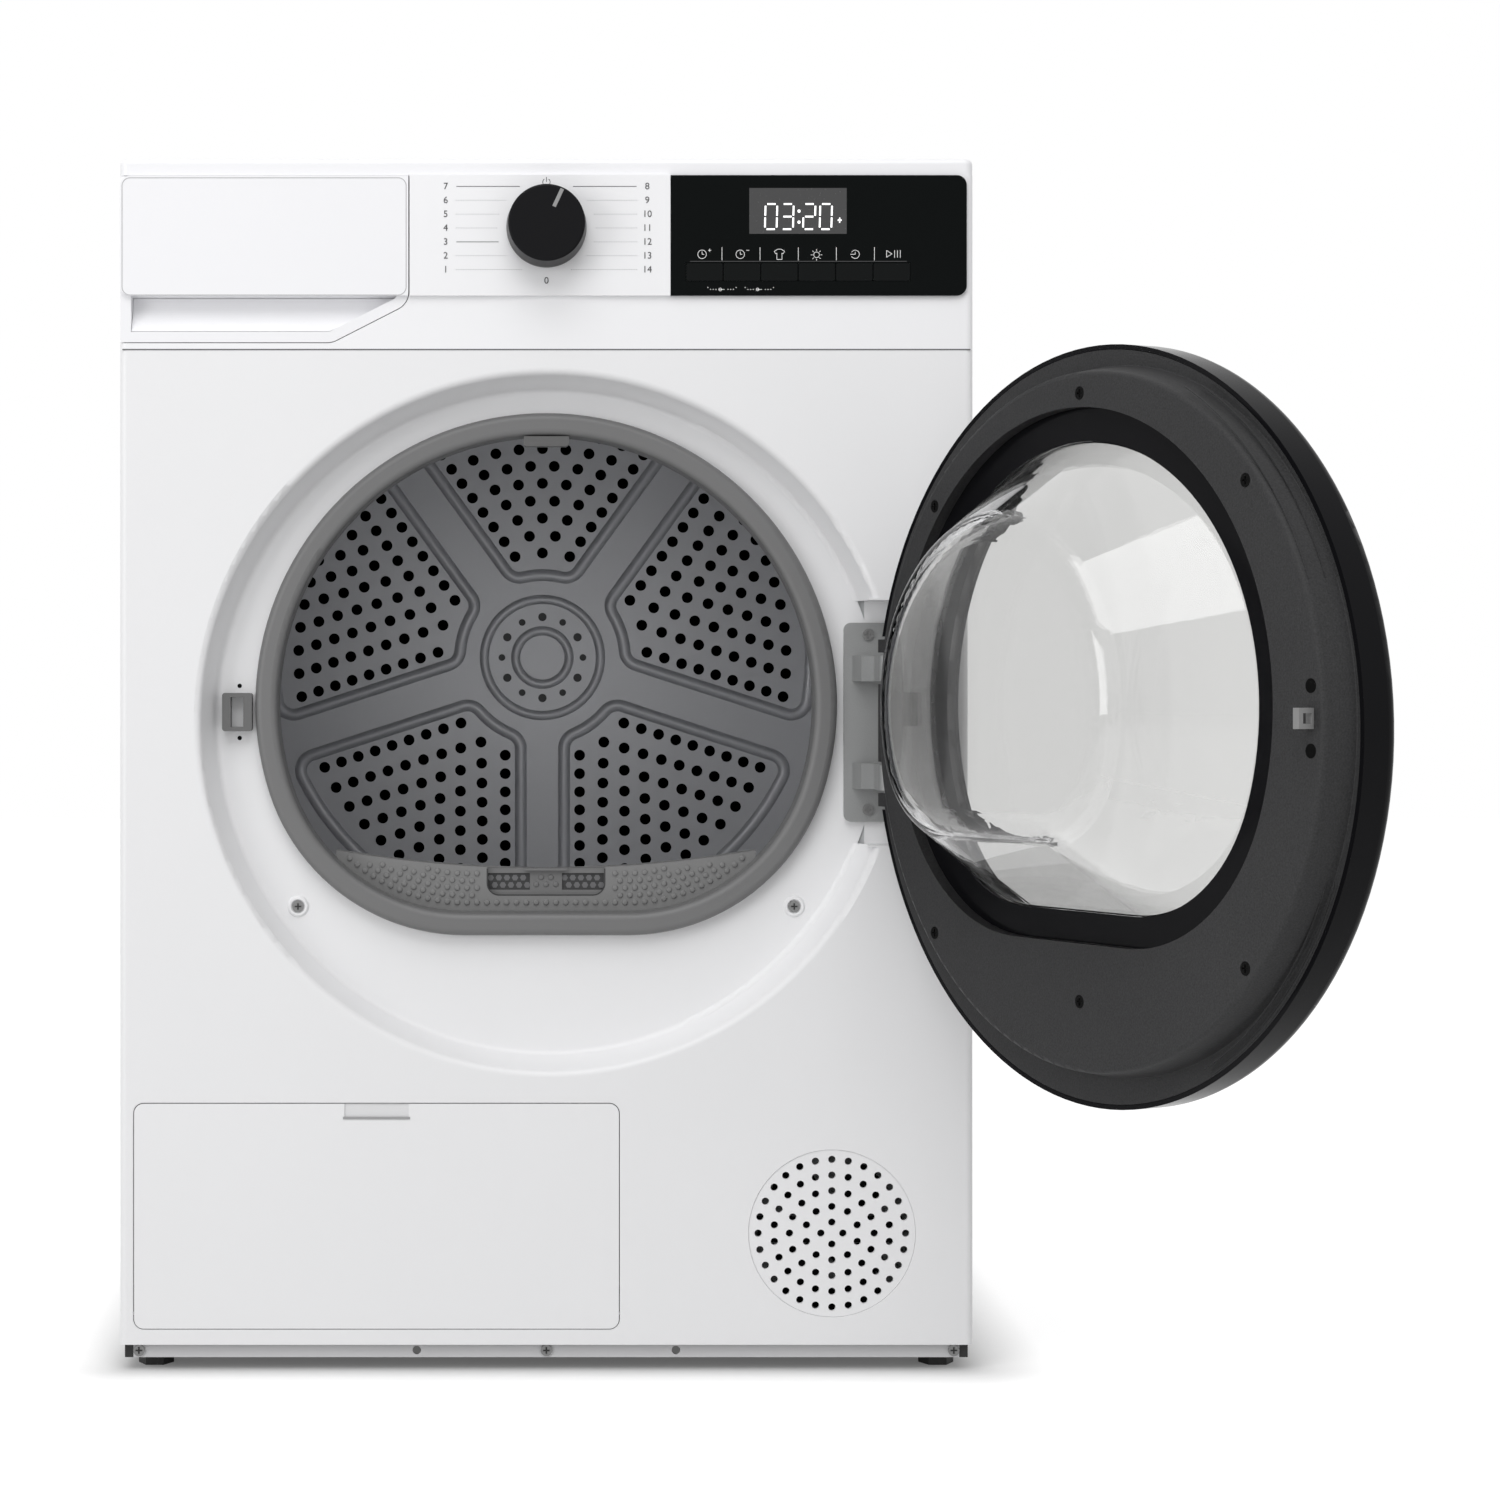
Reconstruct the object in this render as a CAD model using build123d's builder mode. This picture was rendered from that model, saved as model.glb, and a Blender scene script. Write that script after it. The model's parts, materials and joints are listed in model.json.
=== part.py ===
"""Front-loading heat pump clothes dryer, door standing open.

Millimetres. The origin is on the floor under the middle of the cabinet.
+Z is up and the front looks along -Y. Door pieces are drawn shut and then swung open.
"""
from build123d import *
from math import acos, asin, atan2, cos, degrees, hypot, radians, sin, sqrt
import os

# Cabinet
cabinet_width = 598.0
cabinet_depth = 600.0
cabinet_height = 850.0
sheet = 1.2
worktop_thickness = 12.0
worktop_corner = 6.0
worktop_round = 4.0
front_return = 14.0
front_corner = 5.0
panel_bottom = 19.0
fascia_bottom = 716.0
fit = 0.3
foot_height = 9.0
foot_across = 25.0
foot_stud_radius = 5.0
foot_inset_x = 22.0
foot_inset_y = 34.0
turning_gap = 0.08
plinth_thickness = 3.0
plinth_setback = 8.0
tray_floor = 8.0
tray_wall = 4.0
tray_height = 36.0
tray_wall_inset = 14.0
foot_boss_radius = 11.0
foot_boss_height = 18.0
foot_stud_length = 22.0
plinth_width = 580.0
plinth_screws = (-286.0, 0.0, 286.0)
plinth_holes = (-91.0, 91.0)
plinth_hole_radius = 3.0
screw_radius = 4.0
screw_head = 1.6
screw_slot_length = 5.0
screw_slot_width = 1.2
rear_slot_x = 130.0
rear_slot_z = 110.0
rear_slot_pitch_x = 60.0
rear_slot_pitch_z = 14.0
rear_slot_columns = 4
rear_slot_rows = 8
rear_slot_length = 44.0
rear_slot_width = 5.0
spigot_x = -240.0
spigot_z = 120.0
spigot_radius = 8.5
spigot_bore = 5.5
spigot_length = 24.0
spigot_neck = 1.5
spigot_flange = 4.0
gland_x = -180.0
gland_z = 780.0
gland_radius = 9.0
gland_bore = 4.0
gland_length = 8.0
gland_flange = 4.0

# Control panel
fascia_wall = 3.0
band_bottom = 753.5
band_relief = 3.0
drawer_right = -96.0
drawer_seam = 0.6
pocket_bottom = 720.5
pocket_depth = 20.0
pocket_inset = 6.0
drawer_step_z = 748.0
drawer_foot_x = -150.0
drawer_bend = 14.0
drawer_corner = 7.0
display_left = 87.0
display_thickness = 3.0
display_corner = 7.0
lcd_width = 68.0
lcd_height = 32.0
lcd_x = 176.0
lcd_z = 812.5
key_count = 6
key_pitch = 26.2
key_height = 12.4
key_gap = 0.8
key_x = 176.0
key_z = 770.0
key_depth = 13.0
key_travel = 0.8
key_corner = 1.0
board_thickness = 4.0
board_margin = 6.0
board_post_spread = 180.0
board_post_radius = 3.0
knob_z = 801.0
knob_radius = 28.0
knob_height = 26.0
knob_taper = 1.4
knob_skirt = 5.0
knob_round = 1.5
pointer_angle = 25.0
pointer_radius = 18.5
pointer_length = 13.0
pointer_width = 2.4
pointer_depth = 0.8
stem_radius = 3.0
encoder_size = 24.0
encoder_depth = 9.0
encoder_corner = 2.0

# Water tank in its channel
tank_width = 184.0
tank_height = 40.0
tank_length = 470.0
tank_wall = 2.0
tank_bottom = 790.0
tank_corner = 8.0
tank_filler_back = 430.0
tank_filler_radius = 12.0
channel_wall = 1.6
channel_side_gap = 1.5

# Door opening
opening_z = 467.7
ring_radius = 205.8
ring_flat_drop = 163.7
ring_corner = 145.0
ring_width = 16.0
ring_proud = 12.0
recess_x = 1.5
recess_z = 454.7
recess_radius = 245.0
recess_slope = 9.0
recess_depth = 30.0
recess_lip = 5.0
hinge_pocket_right = 264.0
hinge_pocket_half = 86.0
catch_x = -218.5
catch_width = 21.0
catch_height = 27.0
catch_z = 462.0
catch_depth = 11.0
catch_corner = 2.0
bulkhead_thickness = 14.0
ring_tube = 3.0
ring_round = 5.0
dish_inner = 150.0
hinge_pocket_left = 227.0
catch_slot_width = 9.0
catch_slot_height = 21.0
ring_screw_x = 176.0
ring_screw_z = 324.0
duct_bow = 13.0
duct_thickness = 20.0
duct_top = 350.0
duct_half_width = 150.0
filter_width = 90.0
filter_thickness = 11.0
filter_bottom = 266.0
filter_wall = 3.0
filter_window_height = 12.0
filter_window_width = 30.0
filter_grip_height = 19.0
lamp_width = 32.0
lamp_height = 7.0
lamp_depth = 12.0

# Drum
drum_z = 505.0
drum_radius = 278.0
drum_sheet = 1.5
drum_front = -238.0
drum_back = 214.0
mouth_radius = 262.0
mouth_wall = 4.0
mouth_gap = 2.0
rear_thickness = 2.0
hub_radius = 50.0
sector_first_row = 90.0
sector_row_pitch = 15.0
sector_rows = 9
sector_hole_radius = 4.7
spoke_half_width = 18.6
spoke_hole_margin = 32.0
bead_width = 10.6
bead_height = 4.0
star_radius = 231.0
star_core = 71.0
hub_ring_radius = 34.9
hub_hole_large = 3.6
hub_hole_small = 2.9
lifter_height = 52.0
lifter_base = 70.0
shaft_radius = 14.0
shaft_flange = 44.0
rear_bulkhead_y = 240.0
rear_bulkhead_thickness = 12.0
bush_wall = 5.0
roller_radius = 25.0
roller_width = 14.0
roller_angle = 35.0
roller_axle = 6.0
roller_set_back = 4.0
roller_chamfer = 1.5
lifter_side_angle = 68.0
rear_port_ring = 150.0
rear_port_radius = 55.0
mouth_reach = 14.0
bead_bend = 14.0
hub_inner_bead = 23.0
hub_bead_radius = 4.0
lifter_count = 3
lifter_front = -205.0
lifter_length = 380.0
shaft_flange_thickness = 6.0

# Drive and heat pump
belt_y = 60.0
belt_width = 12.0
belt_thickness = 3.0
belt_gap = 0.3
motor_x = 150.0
motor_z = 118.0
motor_radius = 48.0
motor_front = 74.0
motor_length = 118.0
motor_shaft_radius = 6.0
pulley_radius = 8.0
fan_radius = 74.0
fan_width = 26.0
fan_y = 206.0
idler_radius = 18.0
idler_pin_radius = 5.0
idler_bar = 16.0
idler_bar_thickness = 6.0
motor_foot = 80.0
fan_blades = 20
fan_blade = 2.0
fan_blade_depth = 16.0
fan_plate = 3.0
fan_hub = 14.0
housing_wall = 4.0
housing_gap = 5.0
housing_inlet = 42.0
compressor_x = 205.0
compressor_y = -70.0
compressor_radius = 62.0
compressor_height = 150.0
compressor_plate = 6.0
compressor_round = 30.0
exchanger_left = -280.0
exchanger_right = 20.0
exchanger_front = -245.0
exchanger_depth = 90.0
exchanger_gap = 30.0
exchanger_height = 142.0
fin_slot = 3.0
fin_pitch = 12.0
fin_depth = 6.0
vent_x = 200.0
vent_z = 97.0
vent_rim = 58.7
vent_hole_radius = 2.6
vent_pitch = 11.0
vent_rings = 5
vent_first = 7.7
vent_flange = 2.5
vent_lap = 5.0
vent_set_back = 0.6
cooling_fan_radius = 50.0
cooling_boss_length = 8.0
cooling_hole = 14.0
cooling_hole_ring = 36.0
cooling_blade_lift = 4.0
cooling_hub = 15.0
cooling_blades = 6
cooling_blade_width = 18.0
cooling_blade_thickness = 2.0
cooling_fan_depth = 14.0
cooling_pin = 3.0

# Service flap
flap_left = -290.0
flap_right = 52.0
flap_bottom = 29.0
flap_top = 189.0
flap_corner = 8.0
flap_thickness = 3.0
flap_gap = 1.2
flap_wall = 1.5
flap_notch_x = -119.0
flap_notch_width = 45.0
flap_notch_height = 10.0
flap_pin_radius = 1.2
flap_axis_depth = 3.2
flap_axis_rise = 11.5
flap_lug = 5.0
flap_lug_half = 4.4
flap_lug_depth = 7.0
flap_lug_gap = 0.4

# Door
door_open_angle = 118.5
door_radius = 240.0
door_front = 32.0
door_rim = 4.0
door_wall = 3.0
plateau_level = -17.5
plateau_radius = 217.0
plateau_shift = 12.0
plateau_rise = 3.3
window_radius = 184.0
window_flat_drop = 145.0
window_corner = 125.0
window_lap = 6.0
window_thickness = 4.0
frame_radius = 187.0
frame_flat_drop = 148.0
frame_corner = 128.0
ledge_set_back = 9.5
bowl_radius = 167.0
bowl_flat_drop = 130.0
bowl_corner = 110.0
bowl_wall = 4.0
bowl_depth = 76.0
bowl_draw_in = 52.0
hinge_x = 238.0
hinge_forward = 12.0
knuckle_radius = 7.0
knuckle_height = 18.0
knuckle_spread = 76.0
bracket_width = 34.0
bracket_height = 141.0
bracket_thickness = 4.0
bracket_inset = 10.0
arm_reach = 22.0
arm_slope = 6.0
arm_height = 16.0
bracket_screw_spread = 124.0
pin_radius = 3.0
hook_width = 12.0
hook_reach = 11.0
hook_thickness = 5.0
hook_loop = 3.0
rim_round = 8.0
frame_round = 4.0
ledge_thickness = 4.0
bowl_flange = 13.0
bowl_round = 22.0
door_screw_across = 153.0
door_screw_up = 142.0
door_screw_head = 205.0
door_screw_foot = 174.5
door_boss_radius = 4.0
hinge_web = 14.0
hinge_clear = 2.0
hinge_end = 9.0

# Worked out from the sizes above
half_width = cabinet_width / 2
inner_half = half_width - sheet
front_y = -cabinet_depth / 2
back_y = cabinet_depth / 2
panel_top = cabinet_height - worktop_thickness
plinth_screw_z = (foot_height + panel_bottom) / 2
recess_floor_y = front_y + recess_depth
bulkhead_front = recess_floor_y + sheet
bulkhead_back = bulkhead_front + bulkhead_thickness
tray_floor_top = panel_bottom + tray_floor
band_y = front_y - band_relief
hinge_y = front_y - hinge_forward
hinge_axis = Axis((hinge_x, hinge_y, 0), (0, 0, 1))
door_axis = Axis((recess_x, 0, recess_z), (0, 1, 0))
drum_axis = Axis((0, 0, drum_z), (0, 1, 0))

os.makedirs("parts", exist_ok=True)


def facing(y, x=0.0, z=0.0):
    """Plane across the machine at depth y, drawn as seen from the front about (x, z)."""
    return Plane(origin=(x, y, z), x_dir=(1, 0, 0), z_dir=(0, -1, 0))


def keep(piece, name):
    """Label a finished piece and write its file."""
    piece.label = name
    export_step(piece, f"parts/{name}.step")


def keep_on_door(piece, name):
    """Swing a piece that was drawn on the shut door to the open pose, then write it."""
    keep(piece.rotate(hinge_axis, door_open_angle), name)


def flat_footed(sketch, radius, drop, corner):
    """Circle with a flat foot and wide corners, the shape of the door opening."""
    Circle(radius)
    with Locations((0, -drop)):
        Rectangle(3 * radius, 3 * radius, align=(Align.CENTER, Align.MAX), mode=Mode.SUBTRACT)
    fillet(sketch.vertices().sort_by(Axis.Y)[:2], corner)


def ring_outline(sketch, inset):
    """Outline of the opening ring, drawn inset from its outer edge."""
    flat_footed(sketch, ring_radius - inset, ring_flat_drop - inset, ring_corner - inset)


# Worktop
with BuildPart() as worktop:
    with BuildSketch(Plane.XY.offset(panel_top)):
        RectangleRounded(cabinet_width, cabinet_depth, worktop_corner)
    extrude(amount=worktop_thickness)
    fillet(worktop.faces().sort_by(Axis.Z)[-1].edges(), worktop_round)
keep(worktop.part, "worktop")

# Side panels
side_length = cabinet_depth - front_return - sheet
for side, name in ((-1, "side_panel_left"), (1, "side_panel_right")):
    with BuildPart() as side_panel:
        with BuildSketch(Plane.XY.offset(panel_bottom)):
            with Locations((side * (half_width - sheet / 2), front_y + front_return + side_length / 2)):
                Rectangle(sheet, side_length)
        extrude(amount=panel_top - panel_bottom)
    keep(side_panel.part, name)

# Rear panel with its air slots and the hole of the drain spigot
with BuildPart() as rear_panel:
    with BuildSketch(facing(back_y)):
        with Locations((0, (panel_bottom + panel_top) / 2)):
            Rectangle(cabinet_width, panel_top - panel_bottom)
        with Locations((rear_slot_x, rear_slot_z)):
            with GridLocations(rear_slot_pitch_x, rear_slot_pitch_z, rear_slot_columns, rear_slot_rows):
                SlotOverall(rear_slot_length, rear_slot_width, mode=Mode.SUBTRACT)
        with Locations((spigot_x, spigot_z)):
            Circle(spigot_radius + spigot_neck, mode=Mode.SUBTRACT)
        with Locations((gland_x, gland_z)):
            Circle(gland_radius, mode=Mode.SUBTRACT)
    extrude(amount=sheet)
keep(rear_panel.part, "rear_panel")

# Drain spigot and the gland of the mains lead, both flanged against the rear panel
with BuildPart() as drain_spigot:
    with BuildSketch(facing(back_y + spigot_length)):
        with Locations((spigot_x, spigot_z)):
            Circle(spigot_radius)
    extrude(amount=spigot_length)
    with BuildSketch(facing(back_y)):
        with Locations((spigot_x, spigot_z)):
            Circle(spigot_radius + spigot_neck)
    extrude(amount=sheet)
    with BuildSketch(facing(back_y - sheet)):
        with Locations((spigot_x, spigot_z)):
            Circle(spigot_radius + spigot_flange)
    extrude(amount=spigot_flange)
    with Locations(Plane(origin=(spigot_x, back_y + spigot_length, spigot_z), z_dir=(0, 1, 0))):
        Hole(spigot_bore)
keep(drain_spigot.part, "drain_spigot")

with BuildPart() as cord_gland:
    with BuildSketch(facing(back_y + gland_length)):
        with Locations((gland_x, gland_z)):
            Circle(gland_radius)
    extrude(amount=gland_length + sheet)
    with BuildSketch(facing(back_y - sheet)):
        with Locations((gland_x, gland_z)):
            Circle(gland_radius + gland_flange)
    extrude(amount=gland_flange)
    with Locations(Plane(origin=(gland_x, back_y + gland_length, gland_z), z_dir=(0, 1, 0))):
        Hole(gland_bore)
keep(cord_gland.part, "cord_gland")

# Base tray with bosses for the feet, lugs for the flap's pins and the scroll of the process fan
foot_places = [
    (sx * (half_width - foot_inset_x), sy * (cabinet_depth / 2 - foot_inset_y))
    for sx in (-1, 1)
    for sy in (-1, 1)
]
flap_axis_y = front_y + flap_axis_depth
flap_axis_z = flap_bottom + flap_axis_rise
flap_lugs = (flap_left - flap_lug_gap - flap_lug / 2, flap_right + flap_lug_gap + flap_lug / 2)
tray_length = cabinet_depth - 2 * sheet
scroll_radius = fan_radius + housing_gap
with BuildPart() as base_tray:
    with BuildSketch(Plane.XY.offset(panel_bottom)) as floor:
        Rectangle(2 * inner_half, tray_length)
        fillet(floor.vertices().group_by(Axis.Y)[0], front_corner)
    extrude(amount=tray_floor)
    with BuildSketch(Plane.XY.offset(tray_floor_top)):
        with Locations((0, tray_wall_inset / 2)):
            Rectangle(2 * inner_half, tray_length - tray_wall_inset)
            Rectangle(2 * (inner_half - tray_wall), tray_length - tray_wall_inset - 2 * tray_wall,
                      mode=Mode.SUBTRACT)
    extrude(amount=tray_height - tray_floor)
    with BuildSketch(facing(front_y + tray_wall_inset + 3 * tray_wall, vent_x, vent_z)):
        Circle(cooling_fan_radius + tray_wall)
    extrude(amount=4 * tray_wall, mode=Mode.SUBTRACT)
    with BuildSketch(Plane.XY.offset(tray_floor_top)):
        with Locations(*foot_places):
            Circle(foot_boss_radius)
    extrude(amount=foot_boss_height)
    for lug_x in flap_lugs:
        with BuildSketch(Plane.XY.offset(tray_floor_top)):
            with Locations((lug_x, front_y + sheet + fit)):
                Rectangle(flap_lug, flap_lug_depth, align=(Align.CENTER, Align.MIN))
        extrude(amount=flap_axis_z + flap_lug_half - tray_floor_top)
    with BuildSketch(Plane.XY.offset(panel_bottom)):
        with Locations(*foot_places):
            Circle(foot_stud_radius + turning_gap)
    extrude(amount=foot_stud_length, mode=Mode.SUBTRACT)
    with BuildSketch(Plane.YZ.offset(-half_width)):
        with Locations((flap_axis_y, flap_axis_z)):
            Circle(flap_pin_radius + turning_gap)
    extrude(amount=cabinet_width, mode=Mode.SUBTRACT)
    with BuildSketch(facing(rear_bulkhead_y)):
        with Locations((motor_x, tray_floor_top)):
            Rectangle(2 * (scroll_radius + housing_wall),
                      motor_z + scroll_radius + housing_wall - tray_floor_top,
                      align=(Align.CENTER, Align.MIN))
    extrude(amount=rear_bulkhead_y - fan_y + 2 * housing_wall)
    with BuildSketch(facing(rear_bulkhead_y, motor_x, motor_z)):
        Circle(scroll_radius)
    extrude(amount=rear_bulkhead_y - fan_y + housing_wall, mode=Mode.SUBTRACT)
    with BuildSketch(facing(fan_y, motor_x, motor_z)):
        Circle(housing_inlet)
    extrude(amount=fan_y - motor_front, mode=Mode.SUBTRACT)
keep(base_tray.part, "base_tray")

# Plinth strip, hung under the tray
with BuildPart() as plinth:
    with BuildSketch(Plane.XY.offset(foot_height)):
        with Locations((0, front_y + plinth_setback)):
            Rectangle(plinth_width, plinth_thickness)
    extrude(amount=panel_bottom - foot_height)
    with BuildSketch(facing(front_y + plinth_setback + plinth_thickness)):
        with Locations(*[(x, plinth_screw_z) for x in plinth_holes]):
            Circle(plinth_hole_radius)
    extrude(amount=2 * plinth_thickness, mode=Mode.SUBTRACT)
keep(plinth.part, "plinth")

# Levelling feet
for number, (foot_x, foot_y) in enumerate(foot_places, 1):
    with BuildPart() as foot:
        with BuildSketch():
            with Locations((foot_x, foot_y)):
                RegularPolygon(foot_across / 2, 6)
        extrude(amount=foot_height)
        with BuildSketch(Plane.XY.offset(foot_height)):
            with Locations((foot_x, foot_y)):
                Circle(foot_stud_radius)
        extrude(amount=panel_bottom + foot_stud_length - foot_height - fit)
    keep(foot.part, f"levelling_foot_{number}")

# Front panel: folded sheet, dished door recess, hinge pocket, flap opening and vent hole
pocket_floor_y = recess_floor_y + sheet
with BuildPart() as front_panel:
    with BuildSketch(Plane.XY.offset(panel_bottom)) as fold:
        with Locations((0, front_y)):
            Rectangle(cabinet_width, front_return, align=(Align.CENTER, Align.MIN))
        fillet(fold.vertices().group_by(Axis.Y)[0], front_corner)
    extrude(amount=fascia_bottom - panel_bottom)
    with BuildSketch(Plane.XY.offset(panel_bottom)) as hollow:
        with Locations((0, front_y + sheet)):
            Rectangle(2 * inner_half, front_return, align=(Align.CENTER, Align.MIN))
        fillet(hollow.vertices().group_by(Axis.Y)[0], front_corner - sheet)
    extrude(amount=fascia_bottom - panel_bottom, mode=Mode.SUBTRACT)
    with BuildSketch(facing(front_y + recess_depth, recess_x, recess_z)):
        Circle(recess_radius + 2 * recess_lip)
    extrude(amount=2 * recess_depth, mode=Mode.SUBTRACT)
    with BuildSketch(Plane.XY.offset(recess_z)) as dish:
        with BuildLine() as dish_line:
            FilletPolyline(
                (recess_x + recess_radius + 2 * recess_lip + sheet, front_y + sheet / 2),
                (recess_x + recess_radius, front_y + sheet / 2),
                (recess_x + recess_radius - recess_slope, recess_floor_y + sheet / 2),
                (recess_x + dish_inner, recess_floor_y + sheet / 2),
                radius=recess_lip,
            )
        trace(line_width=sheet)
    revolve(axis=door_axis)
    with BuildSketch(facing(pocket_floor_y, 0, recess_z)):
        with Locations(((hinge_pocket_left + hinge_pocket_right) / 2, 0)):
            Rectangle(hinge_pocket_right - hinge_pocket_left + 2 * sheet, 2 * (hinge_pocket_half + sheet))
    extrude(amount=recess_depth + sheet)
    with BuildSketch(facing(recess_floor_y, 0, recess_z)):
        with Locations((hinge_pocket_right, 0)):
            Rectangle(hinge_pocket_right - dish_inner, 2 * hinge_pocket_half, align=(Align.MAX, Align.CENTER))
    extrude(amount=2 * recess_depth, mode=Mode.SUBTRACT)
    with BuildSketch(facing(pocket_floor_y, 0, opening_z)) as mouth:
        ring_outline(mouth, ring_width - ring_tube - fit)
    extrude(amount=2 * sheet, mode=Mode.SUBTRACT)
    with BuildSketch(facing(front_y + sheet)):
        with Locations(((flap_left + flap_right) / 2, (flap_bottom + flap_top) / 2)):
            RectangleRounded(flap_right - flap_left, flap_top - flap_bottom, flap_corner)
        with Locations((vent_x, vent_z)):
            Circle(vent_rim)
    extrude(amount=2 * sheet, mode=Mode.SUBTRACT)
keep(front_panel.part, "front_panel")

# Vent grille, set a little back in its hole, flanged behind the panel
with BuildPart() as vent_grille:
    with BuildSketch(facing(front_y + sheet + vent_flange, vent_x, vent_z)):
        Circle(vent_rim + vent_lap)
    extrude(amount=vent_flange)
    with BuildSketch(facing(front_y + sheet, vent_x, vent_z)):
        Circle(vent_rim - fit)
    extrude(amount=sheet - vent_set_back)
    with BuildSketch(facing(front_y + sheet + vent_flange, vent_x, vent_z)):
        for ring in range(vent_rings):
            with PolarLocations(vent_first + ring * vent_pitch, 4 + 6 * ring, start_angle=90):
                Circle(vent_hole_radius)
    extrude(amount=2 * vent_flange, mode=Mode.SUBTRACT)
keep(vent_grille.part, "vent_grille")

# Control fascia: folded front with a raised band, cut for the drawer, the keys and the knob
display_right = half_width - front_corner
display_mid = (display_left + display_right) / 2
display_top = panel_top - fit
key_width = key_pitch - key_gap
key_places = [key_x + (number - (key_count - 1) / 2) * key_pitch for number in range(key_count)]


def drawer_outline(sketch, inset):
    """Outline of the water drawer's front, with its slanted foot."""
    Polygon(
        (-half_width, panel_top),
        (drawer_right, panel_top),
        (drawer_right, drawer_step_z),
        (drawer_foot_x, pocket_bottom),
        (-half_width, pocket_bottom),
        align=None,
    )
    fillet(sketch.vertices().filter_by_position(Axis.X, drawer_foot_x - 1, drawer_right + 1)
           .filter_by_position(Axis.Y, pocket_bottom - 1, drawer_step_z + 1), drawer_bend)
    if inset:
        offset(amount=-inset, mode=Mode.REPLACE)


with BuildPart() as control_fascia:
    with BuildSketch(Plane.XY.offset(fascia_bottom)) as fold:
        with Locations((0, front_y)):
            Rectangle(cabinet_width, front_return, align=(Align.CENTER, Align.MIN))
        fillet(fold.vertices().group_by(Axis.Y)[0], front_corner)
    extrude(amount=panel_top - fascia_bottom)
    with BuildSketch(facing(front_y + front_return)):
        with Locations((0, (fascia_bottom + panel_top) / 2)):
            Rectangle(cabinet_width - 2 * fascia_wall, panel_top - fascia_bottom - 2 * fascia_wall)
    extrude(amount=front_return - fascia_wall, mode=Mode.SUBTRACT)
    with BuildSketch(facing(front_y)):
        with Locations((display_left - fit, band_bottom)):
            Rectangle(display_left - drawer_right - 2 * fit, panel_top - band_bottom,
                      align=(Align.MAX, Align.MIN))
    extrude(amount=band_relief)
    with BuildSketch(facing(front_y + front_return)) as bay:
        drawer_outline(bay, 0)
    extrude(amount=front_return + band_relief, mode=Mode.SUBTRACT)
    with BuildSketch(facing(front_y + fascia_wall)):
        with Locations((0, knob_z)):
            Circle(stem_radius + fit)
        with Locations((lcd_x, lcd_z)):
            Rectangle(lcd_width + 2 * fit, lcd_height + 2 * fit)
        with Locations(*[(x, key_z) for x in key_places]):
            Rectangle(key_width + 2 * fit, key_height + 2 * fit)
    extrude(amount=fascia_wall + band_relief, mode=Mode.SUBTRACT)
keep(control_fascia.part, "control_fascia")

# Glossy display window over the fascia, open at the keys
with BuildPart() as display_window:
    with BuildSketch(facing(front_y)) as pane:
        with Locations((display_mid, (band_bottom + display_top) / 2)):
            Rectangle(display_right - display_left, display_top - band_bottom)
        fillet(pane.vertices().group_by(Axis.X)[-1], display_corner)
        with Locations(*[(x, key_z) for x in key_places]):
            Rectangle(key_width + 2 * fit, key_height + 2 * fit, mode=Mode.SUBTRACT)
    extrude(amount=display_thickness)
keep(display_window.part, "display_window")

# Keys
key_back = front_y - display_thickness + key_depth
for number, x in enumerate(key_places, 1):
    with BuildPart() as key:
        with BuildSketch(facing(key_back)):
            with Locations((x, key_z)):
                RectangleRounded(key_width, key_height, key_corner)
        extrude(amount=key_depth)
    keep(key.part, f"key_{number}")

# Control board on posts behind the fascia, carrying the liquid crystal block and the knob's encoder
encoder_front = front_y + fascia_wall
encoder_back = encoder_front + encoder_depth
board_front = key_back + key_travel + fit
board_left = -encoder_size
board_right = display_right - board_margin
board_mid_z = (band_bottom + display_top) / 2
with BuildPart() as control_board:
    with BuildSketch(facing(board_front + board_thickness)):
        with Locations((board_left, board_mid_z)):
            Rectangle(board_right - board_left, display_top - band_bottom - board_margin,
                      align=(Align.MIN, Align.CENTER))
    extrude(amount=board_thickness)
    with BuildSketch(facing(board_front)):
        with Locations((lcd_x, lcd_z)):
            Rectangle(lcd_width, lcd_height)
    extrude(amount=board_front - front_y - fit)
    with BuildSketch(facing(board_front)):
        with Locations((0, knob_z)):
            RectangleRounded(encoder_size, encoder_size, encoder_corner)
        with Locations((display_mid, lcd_z)):
            with GridLocations(board_post_spread, 1, 2, 1):
                Circle(board_post_radius)
    extrude(amount=board_front - encoder_front)
    with BuildSketch(facing(encoder_back, 0, knob_z)):
        Circle(stem_radius + turning_gap)
    extrude(amount=encoder_depth, mode=Mode.SUBTRACT)
keep(control_board.part, "control_board")

# Programme knob on the stem that turns in the encoder
knob_back = band_y - fit
with BuildPart() as program_knob:
    with BuildSketch(Plane.XY.offset(knob_z)):
        with BuildLine():
            Polyline(
                (0, knob_back - knob_height),
                (knob_radius - knob_taper, knob_back - knob_height),
                (knob_radius, knob_back - knob_skirt),
                (knob_radius, knob_back),
                (stem_radius, knob_back),
                (stem_radius, encoder_back - fit),
                (0, encoder_back - fit),
                close=True,
            )
        make_face()
    revolve(axis=Axis((0, 0, knob_z), (0, 1, 0)))
    fillet(program_knob.edges().filter_by(GeomType.CIRCLE).sort_by(Axis.Y)[0], knob_round)
    with BuildSketch(facing(knob_back - knob_height + pointer_depth, 0, knob_z)):
        with PolarLocations(pointer_radius, 1, start_angle=90 - pointer_angle):
            Rectangle(pointer_length, pointer_width)
    extrude(amount=pointer_depth, mode=Mode.SUBTRACT)
keep(program_knob.part, "program_knob")

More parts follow.
